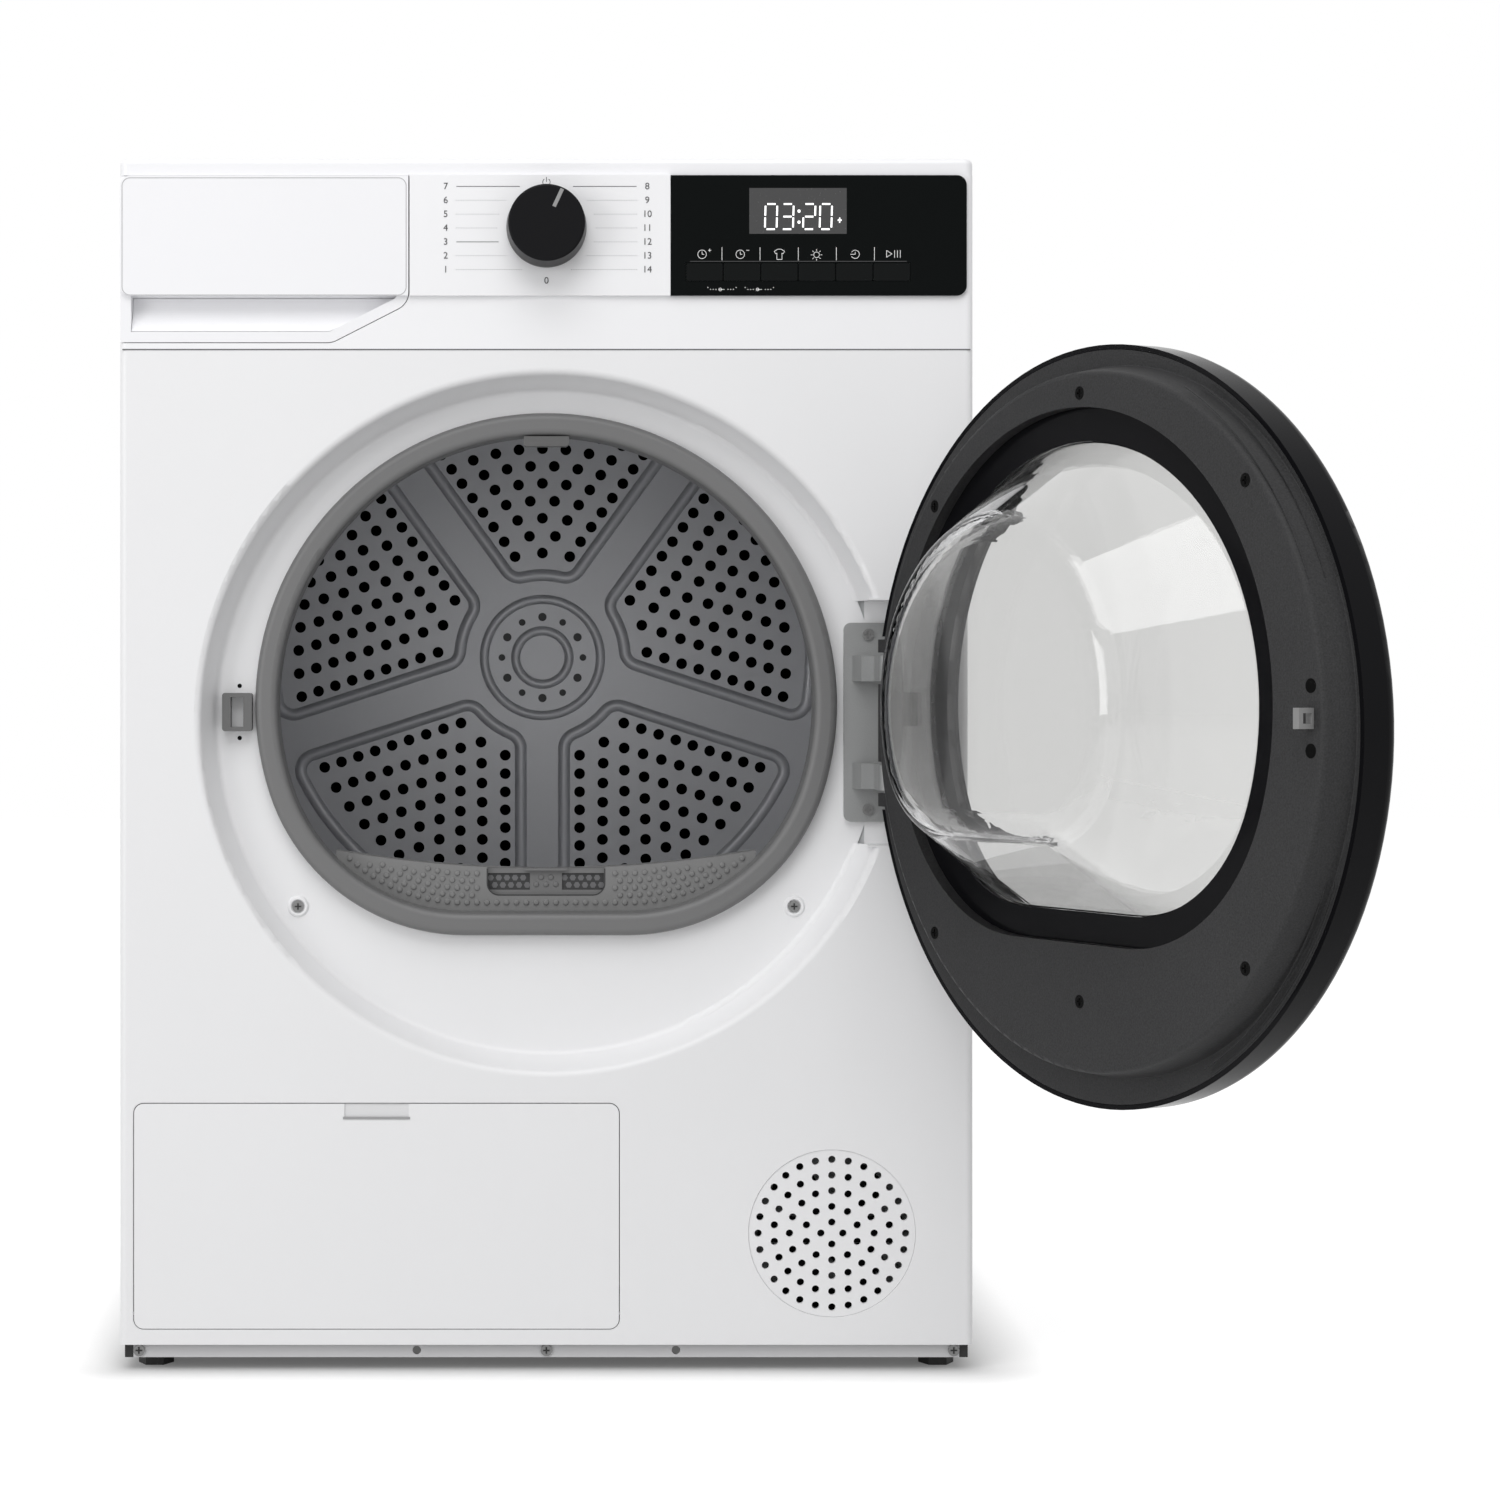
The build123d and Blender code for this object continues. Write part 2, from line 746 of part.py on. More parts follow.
# Water drawer: front with a finger pocket, the tank behind it and the channel it runs in
drawer_back = front_y + fascia_wall
with BuildPart() as water_drawer_front:
    with BuildSketch(facing(drawer_back)) as plate:
        drawer_outline(plate, drawer_seam)
    extrude(amount=fascia_wall)
    with BuildSketch(facing(front_y)) as band:
        drawer_outline(band, drawer_seam)
        with Locations((0, band_bottom)):
            Rectangle(2 * cabinet_width, cabinet_height, align=(Align.CENTER, Align.MIN), mode=Mode.INTERSECT)
        fillet(band.vertices().group_by(Axis.X)[0], drawer_corner)
    extrude(amount=band_relief)
    with BuildSketch(facing(drawer_back + pocket_depth)) as tub:
        drawer_outline(tub, pocket_inset)
        with Locations((0, band_bottom + fascia_wall)):
            Rectangle(2 * cabinet_width, cabinet_height, align=(Align.CENTER, Align.MAX), mode=Mode.INTERSECT)
    extrude(amount=pocket_depth)
    with BuildSketch(facing(drawer_back + pocket_depth - tank_wall)) as scoop:
        drawer_outline(scoop, pocket_inset + tank_wall)
        with Locations((0, band_bottom)):
            Rectangle(2 * cabinet_width, cabinet_height, align=(Align.CENTER, Align.MAX), mode=Mode.INTERSECT)
    extrude(amount=pocket_depth + fascia_wall, mode=Mode.SUBTRACT)
keep(water_drawer_front.part, "water_drawer_front")

channel_left = -inner_half + channel_side_gap
tank_x = channel_left + channel_wall + fit + tank_width / 2
tank_z = tank_bottom + tank_height / 2
tank_back = drawer_back + tank_length
with BuildPart() as water_tank:
    with BuildSketch(facing(tank_back, tank_x, tank_z)):
        RectangleRounded(tank_width, tank_height, tank_corner)
    extrude(amount=tank_length)
    with BuildSketch(facing(tank_back - tank_wall, tank_x, tank_z)):
        RectangleRounded(tank_width - 2 * tank_wall, tank_height - 2 * tank_wall, tank_corner - tank_wall)
    extrude(amount=tank_length - 2 * tank_wall, mode=Mode.SUBTRACT)
    with BuildSketch(Plane.XY.offset(tank_bottom + tank_height)):
        with Locations((tank_x, drawer_back + tank_filler_back)):
            Circle(tank_filler_radius)
    extrude(amount=-2 * tank_wall, mode=Mode.SUBTRACT)
keep(water_tank.part, "water_tank")

rear_bulkhead_back = rear_bulkhead_y + rear_bulkhead_thickness
channel_bottom = tank_bottom - fit - channel_wall
with BuildPart() as tank_channel:
    with BuildSketch(facing(rear_bulkhead_back, tank_x, tank_z)):
        Rectangle(tank_width + 2 * (fit + channel_wall), tank_height + 2 * (fit + channel_wall))
        Rectangle(tank_width + 2 * fit, tank_height + 2 * fit, mode=Mode.SUBTRACT)
    extrude(amount=rear_bulkhead_back - front_y - front_return - pocket_depth)
keep(tank_channel.part, "tank_channel")

# Front bulkhead: carries the drum's mouth, the roller axles and the cooling fan's pin
roller_reach = drum_radius + roller_radius + fit
roller_places = [
    (side * roller_reach * sin(radians(roller_angle)), drum_z - roller_reach * cos(radians(roller_angle)))
    for side in (-1, 1)
]
roller_front = drum_front + roller_set_back
tray_top = panel_bottom + tray_height
cooling_boss = bulkhead_front - cooling_boss_length
with BuildPart() as front_bulkhead:
    with BuildSketch(facing(bulkhead_back)):
        with Locations((0, tray_top)):
            Rectangle(2 * inner_half, channel_bottom - tray_top, align=(Align.CENTER, Align.MIN))
        with Locations(((flap_left + flap_right) / 2, tray_top)):
            Rectangle(flap_right - flap_left, flap_top - tray_top, align=(Align.CENTER, Align.MIN),
                      mode=Mode.SUBTRACT)
        with Locations((vent_x, vent_z)):
            with PolarLocations(cooling_hole_ring, 4, start_angle=45):
                Circle(cooling_hole, mode=Mode.SUBTRACT)
    extrude(amount=bulkhead_thickness)
    with BuildSketch(facing(bulkhead_back, 0, opening_z)) as mouth:
        ring_outline(mouth, ring_width - ring_tube - fit)
    extrude(amount=bulkhead_thickness, mode=Mode.SUBTRACT)
    with BuildSketch(facing(drum_front + mouth_reach, 0, drum_z)):
        Circle(mouth_radius)
        Circle(mouth_radius - mouth_wall, mode=Mode.SUBTRACT)
    extrude(amount=drum_front + mouth_reach - bulkhead_back)
    with BuildSketch(facing(roller_front + roller_width + fit)):
        with Locations(*roller_places):
            Circle(roller_axle)
    extrude(amount=roller_front + roller_width + fit - bulkhead_back)
    with BuildSketch(facing(bulkhead_front, vent_x, vent_z)):
        Circle(cooling_hub)
    extrude(amount=cooling_boss_length)
    with BuildSketch(facing(cooling_boss, vent_x, vent_z)):
        Circle(cooling_pin)
    extrude(amount=cooling_fan_depth)
keep(front_bulkhead.part, "front_bulkhead")

# Opening ring with the tube that lines the bulkhead
with BuildPart() as opening_ring:
    with BuildSketch(facing(recess_floor_y, 0, opening_z)) as bead:
        ring_outline(bead, 0)
    extrude(amount=ring_proud)
    fillet(opening_ring.faces().sort_by(Axis.Y)[0].edges(), ring_round)
    with BuildSketch(facing(bulkhead_back, 0, opening_z)) as tube:
        ring_outline(tube, ring_width - ring_tube)
    extrude(amount=bulkhead_back - recess_floor_y)
    with BuildSketch(facing(bulkhead_back, 0, opening_z)) as bore:
        ring_outline(bore, ring_width)
    extrude(amount=bulkhead_back - recess_floor_y + 2 * ring_proud, mode=Mode.SUBTRACT)
    inner_lip = opening_ring.edges().group_by(Axis.Y)[0]
    fillet(inner_lip, ring_round)
keep(opening_ring.part, "opening_ring")

# Front air duct with the pocket of the lint filter
duct_back = bulkhead_back + duct_thickness
filter_mid_y = bulkhead_back + duct_thickness / 2
filter_height = duct_top - filter_bottom
with BuildPart() as air_duct:
    with BuildSketch(facing(duct_back, 0, drum_z)):
        Circle(mouth_radius - mouth_wall - fit)
        with Locations((0, duct_top + duct_bow - drum_z)):
            Rectangle(2 * duct_half_width, drum_radius, align=(Align.CENTER, Align.MAX), mode=Mode.INTERSECT)
        with BuildLine():
            bowed = ThreePointArc((-duct_half_width, duct_top + duct_bow - drum_z), (0, duct_top - drum_z),
                                  (duct_half_width, duct_top + duct_bow - drum_z))
            Line(bowed @ 1, bowed @ 0)
        make_face(mode=Mode.SUBTRACT)
    extrude(amount=duct_thickness)
    with BuildSketch(Plane.XY.offset(filter_bottom - fit)):
        with Locations((0, filter_mid_y)):
            Rectangle(filter_width + 2 * fit, filter_thickness + 2 * fit)
    extrude(amount=filter_height + duct_bow, mode=Mode.SUBTRACT)
    with BuildSketch(facing(filter_mid_y)):
        with Locations((0, duct_top - filter_grip_height)):
            Rectangle(filter_width - 2 * filter_wall, filter_grip_height + duct_bow,
                      align=(Align.CENTER, Align.MIN))
    extrude(amount=duct_thickness, mode=Mode.SUBTRACT)
keep(air_duct.part, "air_duct")

# Lint filter: a flat cassette with a grip strip and two mesh windows at its top
with BuildPart() as lint_filter:
    with BuildSketch(Plane.XY.offset(filter_bottom)):
        with Locations((0, filter_mid_y)):
            Rectangle(filter_width, filter_thickness)
    extrude(amount=filter_height)
    with BuildSketch(Plane.XY.offset(duct_top)):
        with Locations((0, filter_mid_y)):
            Rectangle(filter_width - 2 * filter_wall, filter_thickness - 2 * filter_wall)
    extrude(amount=-filter_height + filter_wall, mode=Mode.SUBTRACT)
    with BuildSketch(facing(filter_mid_y)):
        with Locations((0, duct_top - filter_grip_height / 2)):
            with GridLocations(filter_width - filter_window_width - 7 * filter_wall / 3, 1, 2, 1):
                Rectangle(filter_window_width, filter_window_height)
    extrude(amount=filter_thickness, mode=Mode.SUBTRACT)
keep(lint_filter.part, "lint_filter")

# Lamp cover under the top of the ring
lamp_top = opening_z + sqrt((ring_radius - ring_width) ** 2 - (lamp_width / 2) ** 2)
with BuildPart() as drum_lamp:
    with BuildSketch(facing(bulkhead_front, 0, lamp_top - lamp_height / 2)):
        Rectangle(lamp_width, lamp_height)
    extrude(amount=lamp_depth)
    fillet(drum_lamp.edges().filter_by(Axis.Y).group_by(Axis.Z)[0], lamp_height / 3)
keep(drum_lamp.part, "drum_lamp")

# Latch catch on the recess floor
with BuildPart() as door_catch:
    with BuildSketch(facing(recess_floor_y, catch_x, catch_z)):
        RectangleRounded(catch_width, catch_height, catch_corner)
        Rectangle(catch_slot_width, catch_slot_height, mode=Mode.SUBTRACT)
    extrude(amount=catch_depth)
keep(door_catch.part, "door_catch")

# Screws on the plinth, the recess floor and the hinge bracket
bracket_x = hinge_x - bracket_inset
bracket_front = recess_floor_y - bracket_thickness
with BuildPart() as cabinet_screws:
    for seat_y, places in (
        (front_y + plinth_setback - plinth_thickness / 2, [(x, plinth_screw_z) for x in plinth_screws]),
        (recess_floor_y, [(-ring_screw_x, ring_screw_z), (ring_screw_x, ring_screw_z)]),
        (bracket_front, [(bracket_x, recess_z + side * bracket_screw_spread / 2) for side in (-1, 1)]),
    ):
        with BuildSketch(facing(seat_y)):
            with Locations(*places):
                Circle(screw_radius)
        extrude(amount=screw_head)
        with BuildSketch(facing(seat_y - screw_head / 2)):
            with Locations(*places):
                Rectangle(screw_slot_length, screw_slot_width)
                Rectangle(screw_slot_width, screw_slot_length)
        extrude(amount=screw_head, mode=Mode.SUBTRACT)
keep(cabinet_screws.part, "cabinet_screws")

# Drum shell with its turned-in front edge
drum_inner = drum_radius - drum_sheet
with BuildPart() as drum_shell:
    with BuildSketch(Plane.XY.offset(drum_z)):
        with BuildLine():
            Polyline(
                (mouth_radius + mouth_gap, drum_front),
                (drum_radius, drum_front),
                (drum_radius, drum_back),
                (drum_inner, drum_back),
                (drum_inner, drum_front + drum_sheet),
                (mouth_radius + mouth_gap, drum_front + drum_sheet),
                close=True,
            )
        make_face()
    revolve(axis=drum_axis)
keep(drum_shell.part, "drum_shell")

# Drum rear wall: hole sectors between five spokes, rounded beads and a hub
with BuildSketch() as sector_holes:
    for row in range(sector_rows):
        row_radius = sector_first_row + row * sector_row_pitch
        half_sweep = 36 - degrees(asin(spoke_hole_margin / row_radius))
        for number in range(3 + row):
            turn = radians(90 - half_sweep + number * 2 * half_sweep / (2 + row))
            with Locations((row_radius * cos(turn), row_radius * sin(turn))):
                Circle(sector_hole_radius)

with BuildSketch() as sector_field:
    Circle(star_radius)
    Circle(star_core, mode=Mode.SUBTRACT)
    apex = spoke_half_width / sin(radians(36))
    reach = 2 * star_radius
    Polygon(
        (0, apex),
        (reach * cos(radians(54)), apex + reach * sin(radians(54))),
        (-reach * cos(radians(54)), apex + reach * sin(radians(54))),
        align=None,
        mode=Mode.INTERSECT,
    )
    fillet(sector_field.vertices(), bead_bend)

rear_front_y = drum_back - rear_thickness
bead_plane = facing(rear_front_y + bead_width / 2 - bead_height, 0, drum_z)
sector_loop = bead_plane.from_local_coords(sector_field.sketch.faces()[0].outer_wire())
with BuildPart() as sector_bead:
    with BuildSketch(Plane(origin=sector_loop @ 0.02, z_dir=sector_loop % 0.02)):
        Circle(bead_width / 2)
    sweep(path=sector_loop)

with BuildPart() as drum_rear_wall:
    with BuildSketch(facing(drum_back, 0, drum_z)):
        Circle(drum_inner - fit / 2)
        with PolarLocations(0, 5):
            add(sector_holes.sketch, mode=Mode.SUBTRACT)
        with PolarLocations(hub_ring_radius, 6, start_angle=90):
            Circle(hub_hole_large, mode=Mode.SUBTRACT)
        with PolarLocations(hub_ring_radius, 6, start_angle=60):
            Circle(hub_hole_small, mode=Mode.SUBTRACT)
    extrude(amount=rear_thickness)
    for number in range(5):
        add(sector_bead.part.rotate(drum_axis, 72 * number))
    with Locations(facing(rear_front_y, 0, drum_z)):
        Torus(hub_radius, hub_bead_radius)
        Torus(hub_inner_bead, hub_bead_radius)
    with BuildSketch(facing(drum_back + bead_width, 0, drum_z)):
        Circle(drum_radius)
    extrude(amount=bead_width, mode=Mode.SUBTRACT)
keep(drum_rear_wall.part, "drum_rear_wall")

# Lifters along the inside of the shell
with BuildPart() as drum_lifters:
    with BuildSketch(facing(lifter_front + lifter_length, 0, drum_z)) as ridge:
        for number in range(lifter_count):
            turn = 270 + number * 360 / lifter_count
            with PolarLocations(drum_inner - lifter_height / 2, 1, start_angle=turn):
                Trapezoid(lifter_base, lifter_height + drum_sheet, lifter_side_angle, rotation=90)
        Circle(drum_inner - fit / 2, mode=Mode.INTERSECT)
    extrude(amount=lifter_length)
keep(drum_lifters.part, "drum_lifters")

# Drum shaft, its bush and the rear bulkhead that holds the bush
with BuildPart() as drum_shaft:
    with BuildSketch(facing(drum_back + shaft_flange_thickness, 0, drum_z)):
        Circle(shaft_flange)
    extrude(amount=shaft_flange_thickness)
    with BuildSketch(facing(rear_bulkhead_back, 0, drum_z)):
        Circle(shaft_radius)
    extrude(amount=rear_bulkhead_back - drum_back)
keep(drum_shaft.part, "drum_shaft")

bush_radius = shaft_radius + bush_wall
with BuildPart() as bearing_bush:
    with BuildSketch(facing(rear_bulkhead_back, 0, drum_z)):
        Circle(bush_radius)
        Circle(shaft_radius + turning_gap, mode=Mode.SUBTRACT)
    extrude(amount=rear_bulkhead_thickness)
keep(bearing_bush.part, "bearing_bush")

with BuildPart() as rear_bulkhead:
    with BuildSketch(facing(rear_bulkhead_back)):
        with Locations((0, tray_top)):
            Rectangle(2 * inner_half, channel_bottom - tray_top, align=(Align.CENTER, Align.MIN))
        with Locations((0, drum_z)):
            Circle(bush_radius, mode=Mode.SUBTRACT)
            with PolarLocations(rear_port_ring, 5, start_angle=90):
                Circle(rear_port_radius, mode=Mode.SUBTRACT)
    extrude(amount=rear_bulkhead_thickness)
keep(rear_bulkhead.part, "rear_bulkhead")

# Rollers under the front of the drum
for (x, z), name in zip(roller_places, ("drum_roller_left", "drum_roller_right")):
    with BuildPart() as roller:
        with BuildSketch(facing(roller_front + roller_width, x, z)):
            Circle(roller_radius)
            Circle(roller_axle + turning_gap, mode=Mode.SUBTRACT)
        extrude(amount=roller_width)
        chamfer(roller.edges().filter_by(GeomType.CIRCLE).sort_by(SortBy.RADIUS)[-2:], roller_chamfer)
    keep(roller.part, name)

# Drive belt round the drum and the motor pulley
belt_front = belt_y - belt_width / 2
belt_back = belt_y + belt_width / 2


def belt_loop(sketch, out):
    """Outline of a belt standing out from the drum and the pulley."""
    with Locations((0, drum_z)):
        Circle(drum_radius + out)
    with Locations((motor_x, motor_z)):
        Circle(pulley_radius + out)
    make_hull(sketch.edges(), mode=Mode.REPLACE)


with BuildSketch(facing(belt_back)) as belt_outer:
    belt_loop(belt_outer, belt_gap + belt_thickness)
with BuildSketch(facing(belt_back)) as belt_inner:
    belt_loop(belt_inner, belt_gap)
with BuildPart() as drive_belt:
    extrude(belt_outer.sketch, amount=belt_width, dir=(0, -1, 0))
    extrude(belt_inner.sketch, amount=belt_width, dir=(0, -1, 0), mode=Mode.SUBTRACT)
keep(drive_belt.part, "drive_belt")

# Idler pulley pressing on the belt's right-hand run, on a bar that stands on the tray
run_length = hypot(motor_x, motor_z - drum_z)
run_turn = atan2(motor_z - drum_z, motor_x) + acos((drum_radius - pulley_radius) / run_length)
run_normal = Vector(cos(run_turn), sin(run_turn))
run_middle = (Vector(0, drum_z) + run_normal * drum_radius + Vector(motor_x, motor_z)
              + run_normal * pulley_radius) * 0.5
idler_centre = run_middle + run_normal * (2 * belt_gap + belt_thickness + idler_radius)
with BuildPart() as idler_pulley:
    with BuildSketch(facing(belt_back, idler_centre.X, idler_centre.Y)):
        Circle(idler_radius)
        Circle(idler_pin_radius + turning_gap, mode=Mode.SUBTRACT)
    extrude(amount=belt_width)
keep(idler_pulley.part, "idler_pulley")

bar_front = belt_back + fit
with BuildPart() as idler_arm:
    with BuildSketch(facing(bar_front + idler_bar_thickness, idler_centre.X, idler_centre.Y)):
        Circle(idler_bar / 2)
        Rectangle(idler_bar, idler_centre.Y - tray_floor_top, align=(Align.CENTER, Align.MAX))
    extrude(amount=idler_bar_thickness)
    with BuildSketch(facing(bar_front, idler_centre.X, idler_centre.Y)):
        Circle(idler_pin_radius)
    extrude(amount=belt_width + fit)
keep(idler_arm.part, "idler_arm")

# Motor with its foot on the tray, its shaft with the belt pulley, and the process fan
motor_back = motor_front + motor_length
with BuildPart() as drive_motor:
    with BuildSketch(facing(motor_back)):
        with Locations((motor_x, motor_z)):
            Circle(motor_radius)
        with Locations((motor_x, tray_floor_top)):
            Rectangle(motor_foot, motor_z - tray_floor_top, align=(Align.CENTER, Align.MIN))
        with Locations((motor_x, motor_z)):
            Circle(motor_shaft_radius + turning_gap, mode=Mode.SUBTRACT)
    extrude(amount=motor_length)
keep(drive_motor.part, "drive_motor")

fan_back = fan_y + fan_width
with BuildPart() as motor_shaft:
    with BuildSketch(facing(fan_back, motor_x, motor_z)):
        Circle(motor_shaft_radius)
    extrude(amount=fan_back - belt_front)
    with BuildSketch(facing(belt_back, motor_x, motor_z)):
        Circle(pulley_radius)
    extrude(amount=belt_width)
keep(motor_shaft.part, "motor_shaft")

with BuildPart() as process_fan:
    with BuildSketch(facing(fan_back, motor_x, motor_z)):
        Circle(fan_radius)
    extrude(amount=fan_plate)
    with BuildSketch(facing(fan_back, motor_x, motor_z)):
        Circle(fan_hub)
        with PolarLocations(fan_radius - fan_blade_depth / 2, fan_blades):
            Rectangle(fan_blade_depth, fan_blade)
    extrude(amount=fan_width)
    with BuildSketch(facing(fan_back, motor_x, motor_z)):
        Circle(motor_shaft_radius)
    extrude(amount=fan_width, mode=Mode.SUBTRACT)
keep(process_fan.part, "process_fan")

# Compressor on its plate, and the two heat exchangers
with BuildPart() as compressor:
    with BuildSketch(Plane.XY.offset(tray_floor_top)):
        with Locations((compressor_x, compressor_y)):
            RectangleRounded(2 * compressor_radius, 2 * compressor_radius, compressor_round)
    extrude(amount=compressor_plate)
    with BuildSketch(Plane.XY.offset(tray_floor_top + compressor_plate)):
        with Locations((compressor_x, compressor_y)):
            Circle(compressor_radius - compressor_plate)
    extrude(amount=compressor_height)
    fillet(compressor.faces().sort_by(Axis.Z)[-1].edges(), compressor_round)
keep(compressor.part, "compressor")

exchanger_width = exchanger_right - exchanger_left
exchanger_mid = (exchanger_left + exchanger_right) / 2
fin_count = int(exchanger_width / fin_pitch) - 1
with BuildPart() as heat_exchangers:
    for number in range(2):
        block_front = exchanger_front + number * (exchanger_depth + exchanger_gap)
        with BuildSketch(facing(block_front + exchanger_depth)):
            with Locations((exchanger_mid, tray_floor_top)):
                Rectangle(exchanger_width, exchanger_height, align=(Align.CENTER, Align.MIN))
        extrude(amount=exchanger_depth)
        with BuildSketch(facing(block_front + fin_depth)):
            with Locations((exchanger_mid, tray_floor_top + exchanger_height / 2)):
                with GridLocations(fin_pitch, 1, fin_count, 1):
                    Rectangle(fin_slot, exchanger_height - fin_pitch)
        extrude(amount=fin_depth, mode=Mode.SUBTRACT)
keep(heat_exchangers.part, "heat_exchangers")

# Cooling fan behind the vent
cooling_fan_back = cooling_boss - fit
with BuildPart() as cooling_fan:
    with BuildSketch(facing(cooling_fan_back, vent_x, vent_z)):
        Circle(cooling_hub)
    extrude(amount=cooling_fan_depth - fit)
    with BuildSketch(facing(cooling_fan_back - cooling_blade_lift, vent_x, vent_z)):
        with PolarLocations((cooling_hub + cooling_fan_radius) / 2, cooling_blades):
            Rectangle(cooling_fan_radius - cooling_hub + cooling_blade_thickness, cooling_blade_width)
    extrude(amount=cooling_blade_thickness)
    with BuildSketch(facing(cooling_fan_back, vent_x, vent_z)):
        Circle(cooling_pin + turning_gap)
    extrude(amount=cooling_fan_depth, mode=Mode.SUBTRACT)
keep(cooling_fan.part, "cooling_fan")

# Service flap with pins at its foot and a grip notch at its top
flap_mid_x = (flap_left + flap_right) / 2
with BuildPart() as service_flap:
    with BuildSketch(facing(front_y + flap_thickness)) as panel:
        with Locations((flap_mid_x, (flap_bottom + flap_top) / 2)):
            RectangleRounded(flap_right - flap_left - 2 * flap_gap, flap_top - flap_bottom - 2 * flap_gap,
                             flap_corner - flap_gap)
    extrude(amount=flap_thickness)
    with BuildSketch(facing(front_y + flap_thickness - flap_wall)):
        with Locations((flap_notch_x, flap_top - flap_gap)):
            Rectangle(flap_notch_width, flap_notch_height, align=(Align.CENTER, Align.MAX))
    extrude(amount=flap_thickness, mode=Mode.SUBTRACT)
    for ear_x in (flap_left + flap_lug, flap_right - flap_lug):
        with BuildSketch(Plane.YZ.offset(ear_x - flap_lug / 2)):
            with Locations((flap_axis_y, flap_axis_z)):
                Circle(flap_pin_radius + flap_wall)
                Rectangle(2 * (flap_pin_radius + flap_wall), flap_axis_depth, rotation=90,
                          align=(Align.CENTER, Align.MIN))
            with Locations((front_y, flap_axis_z)):
                Rectangle(cabinet_depth, cabinet_height, align=(Align.MIN, Align.CENTER), mode=Mode.INTERSECT)
        extrude(amount=flap_lug)
    for pin_x in (flap_lugs[0] - flap_lug / 2, flap_right - flap_lug):
        with BuildSketch(Plane.YZ.offset(pin_x)):
            with Locations((flap_axis_y, flap_axis_z)):
                Circle(flap_pin_radius)
        extrude(amount=2 * flap_lug + flap_lug_gap)
keep(service_flap.part, "service_flap")

# Door, drawn shut: heights above the front panel are forward distances
def forward(distance):
    """Depth of a level that stands this far in front of the front panel."""
    return front_y - distance


hinge_low = recess_z - knuckle_spread / 2
hinge_high = recess_z + knuckle_spread / 2
knuckle_half = knuckle_height / 2
hinge_foot = hinge_low - knuckle_half - hinge_clear - hinge_end
hinge_head = hinge_high + knuckle_half + hinge_clear + hinge_end
ring_inner_face = door_front - door_wall
plateau_back = plateau_level + door_wall
ledge_front = plateau_level + ledge_set_back
ledge_back = ledge_front + ledge_thickness
plateau_x = recess_x - plateau_shift
plateau_z = recess_z + plateau_rise
plateau_axis = Axis((plateau_x, 0, plateau_z), (0, 1, 0))
screw_places = [(across * door_screw_across, up * door_screw_up) for across in (-1, 1) for up in (-1, 1)]
screw_places += [(0, door_screw_head), (0, -door_screw_foot)]

# Hinge bracket with two knuckles, screwed to the recess floor
with BuildPart() as hinge_bracket:
    with BuildSketch(facing(recess_floor_y, bracket_x, recess_z)):
        RectangleRounded(bracket_width, bracket_height, front_corner)
    extrude(amount=bracket_thickness)
    for knuckle_z in (hinge_low, hinge_high):
        with BuildSketch(Plane.XY.offset(knuckle_z - knuckle_half)):
            with Locations((hinge_x, hinge_y)):
                Circle(knuckle_radius)
                Rectangle(hinge_web, recess_floor_y - bracket_thickness / 2 - hinge_y,
                          align=(Align.CENTER, Align.MIN))
        extrude(amount=knuckle_height)
        with BuildSketch(Plane.XY.offset(knuckle_z - knuckle_half)):
            with BuildLine():
                Polyline((hinge_x - arm_reach, recess_floor_y - bracket_thickness / 2),
                         (hinge_x - arm_reach + arm_slope, recess_floor_y - arm_height),
                         (hinge_x, recess_floor_y - arm_height),
                         (hinge_x, recess_floor_y - bracket_thickness / 2), close=True)
            make_face()
        extrude(amount=knuckle_height)
    with BuildSketch(Plane.XY.offset(hinge_foot)):
        with Locations((hinge_x, hinge_y)):
            Circle(pin_radius + turning_gap)
    extrude(amount=hinge_head - hinge_foot, mode=Mode.SUBTRACT)
keep(hinge_bracket.part, "hinge_bracket")

# Hinge pin, fixed in the door
with BuildPart() as hinge_pin:
    with BuildSketch(Plane.XY.offset(hinge_foot)):
        with Locations((hinge_x, hinge_y)):
            Circle(pin_radius)
    extrude(amount=hinge_head - hinge_foot)
keep_on_door(hinge_pin.part, "hinge_pin")

# Glossy outer ring with screw bosses, open at the hinge
with BuildPart() as door_outer_ring:
    with BuildSketch(Plane.XY.offset(recess_z)):
        with BuildLine():
            FilletPolyline(
                (recess_x + door_radius - door_wall / 2, forward(door_rim)),
                (recess_x + door_radius - door_wall / 2, forward(door_front - door_wall / 2)),
                (recess_x + bowl_radius / 2, forward(door_front - door_wall / 2)),
                radius=rim_round,
            )
        trace(line_width=door_wall)
    revolve(axis=door_axis)
    with BuildSketch(facing(forward(ring_inner_face), 0, opening_z)) as sight:
        flat_footed(sight, window_radius - window_lap, window_flat_drop - window_lap,
                    window_corner - window_lap)
    extrude(amount=door_wall, mode=Mode.SUBTRACT)
    with BuildSketch(facing(forward(plateau_back), plateau_x, plateau_z)):
        with Locations(*screw_places):
            Circle(door_boss_radius)
    extrude(amount=ring_inner_face - plateau_back)
    with BuildSketch(facing(forward(-recess_depth), hinge_x, recess_z)):
        Rectangle(2 * hinge_web, hinge_head - hinge_foot + 2 * hinge_clear)
    extrude(amount=recess_depth + hinge_forward + knuckle_radius + 3 * hinge_clear, mode=Mode.SUBTRACT)
keep_on_door(door_outer_ring.part, "door_outer_ring")

# Clear outer window behind the ring
with BuildPart() as door_window:
    with BuildSketch(facing(forward(ring_inner_face - window_thickness), 0, opening_z)) as pane:
        flat_footed(pane, window_radius, window_flat_drop, window_corner)
    extrude(amount=window_thickness)
keep_on_door(door_window.part, "door_window")

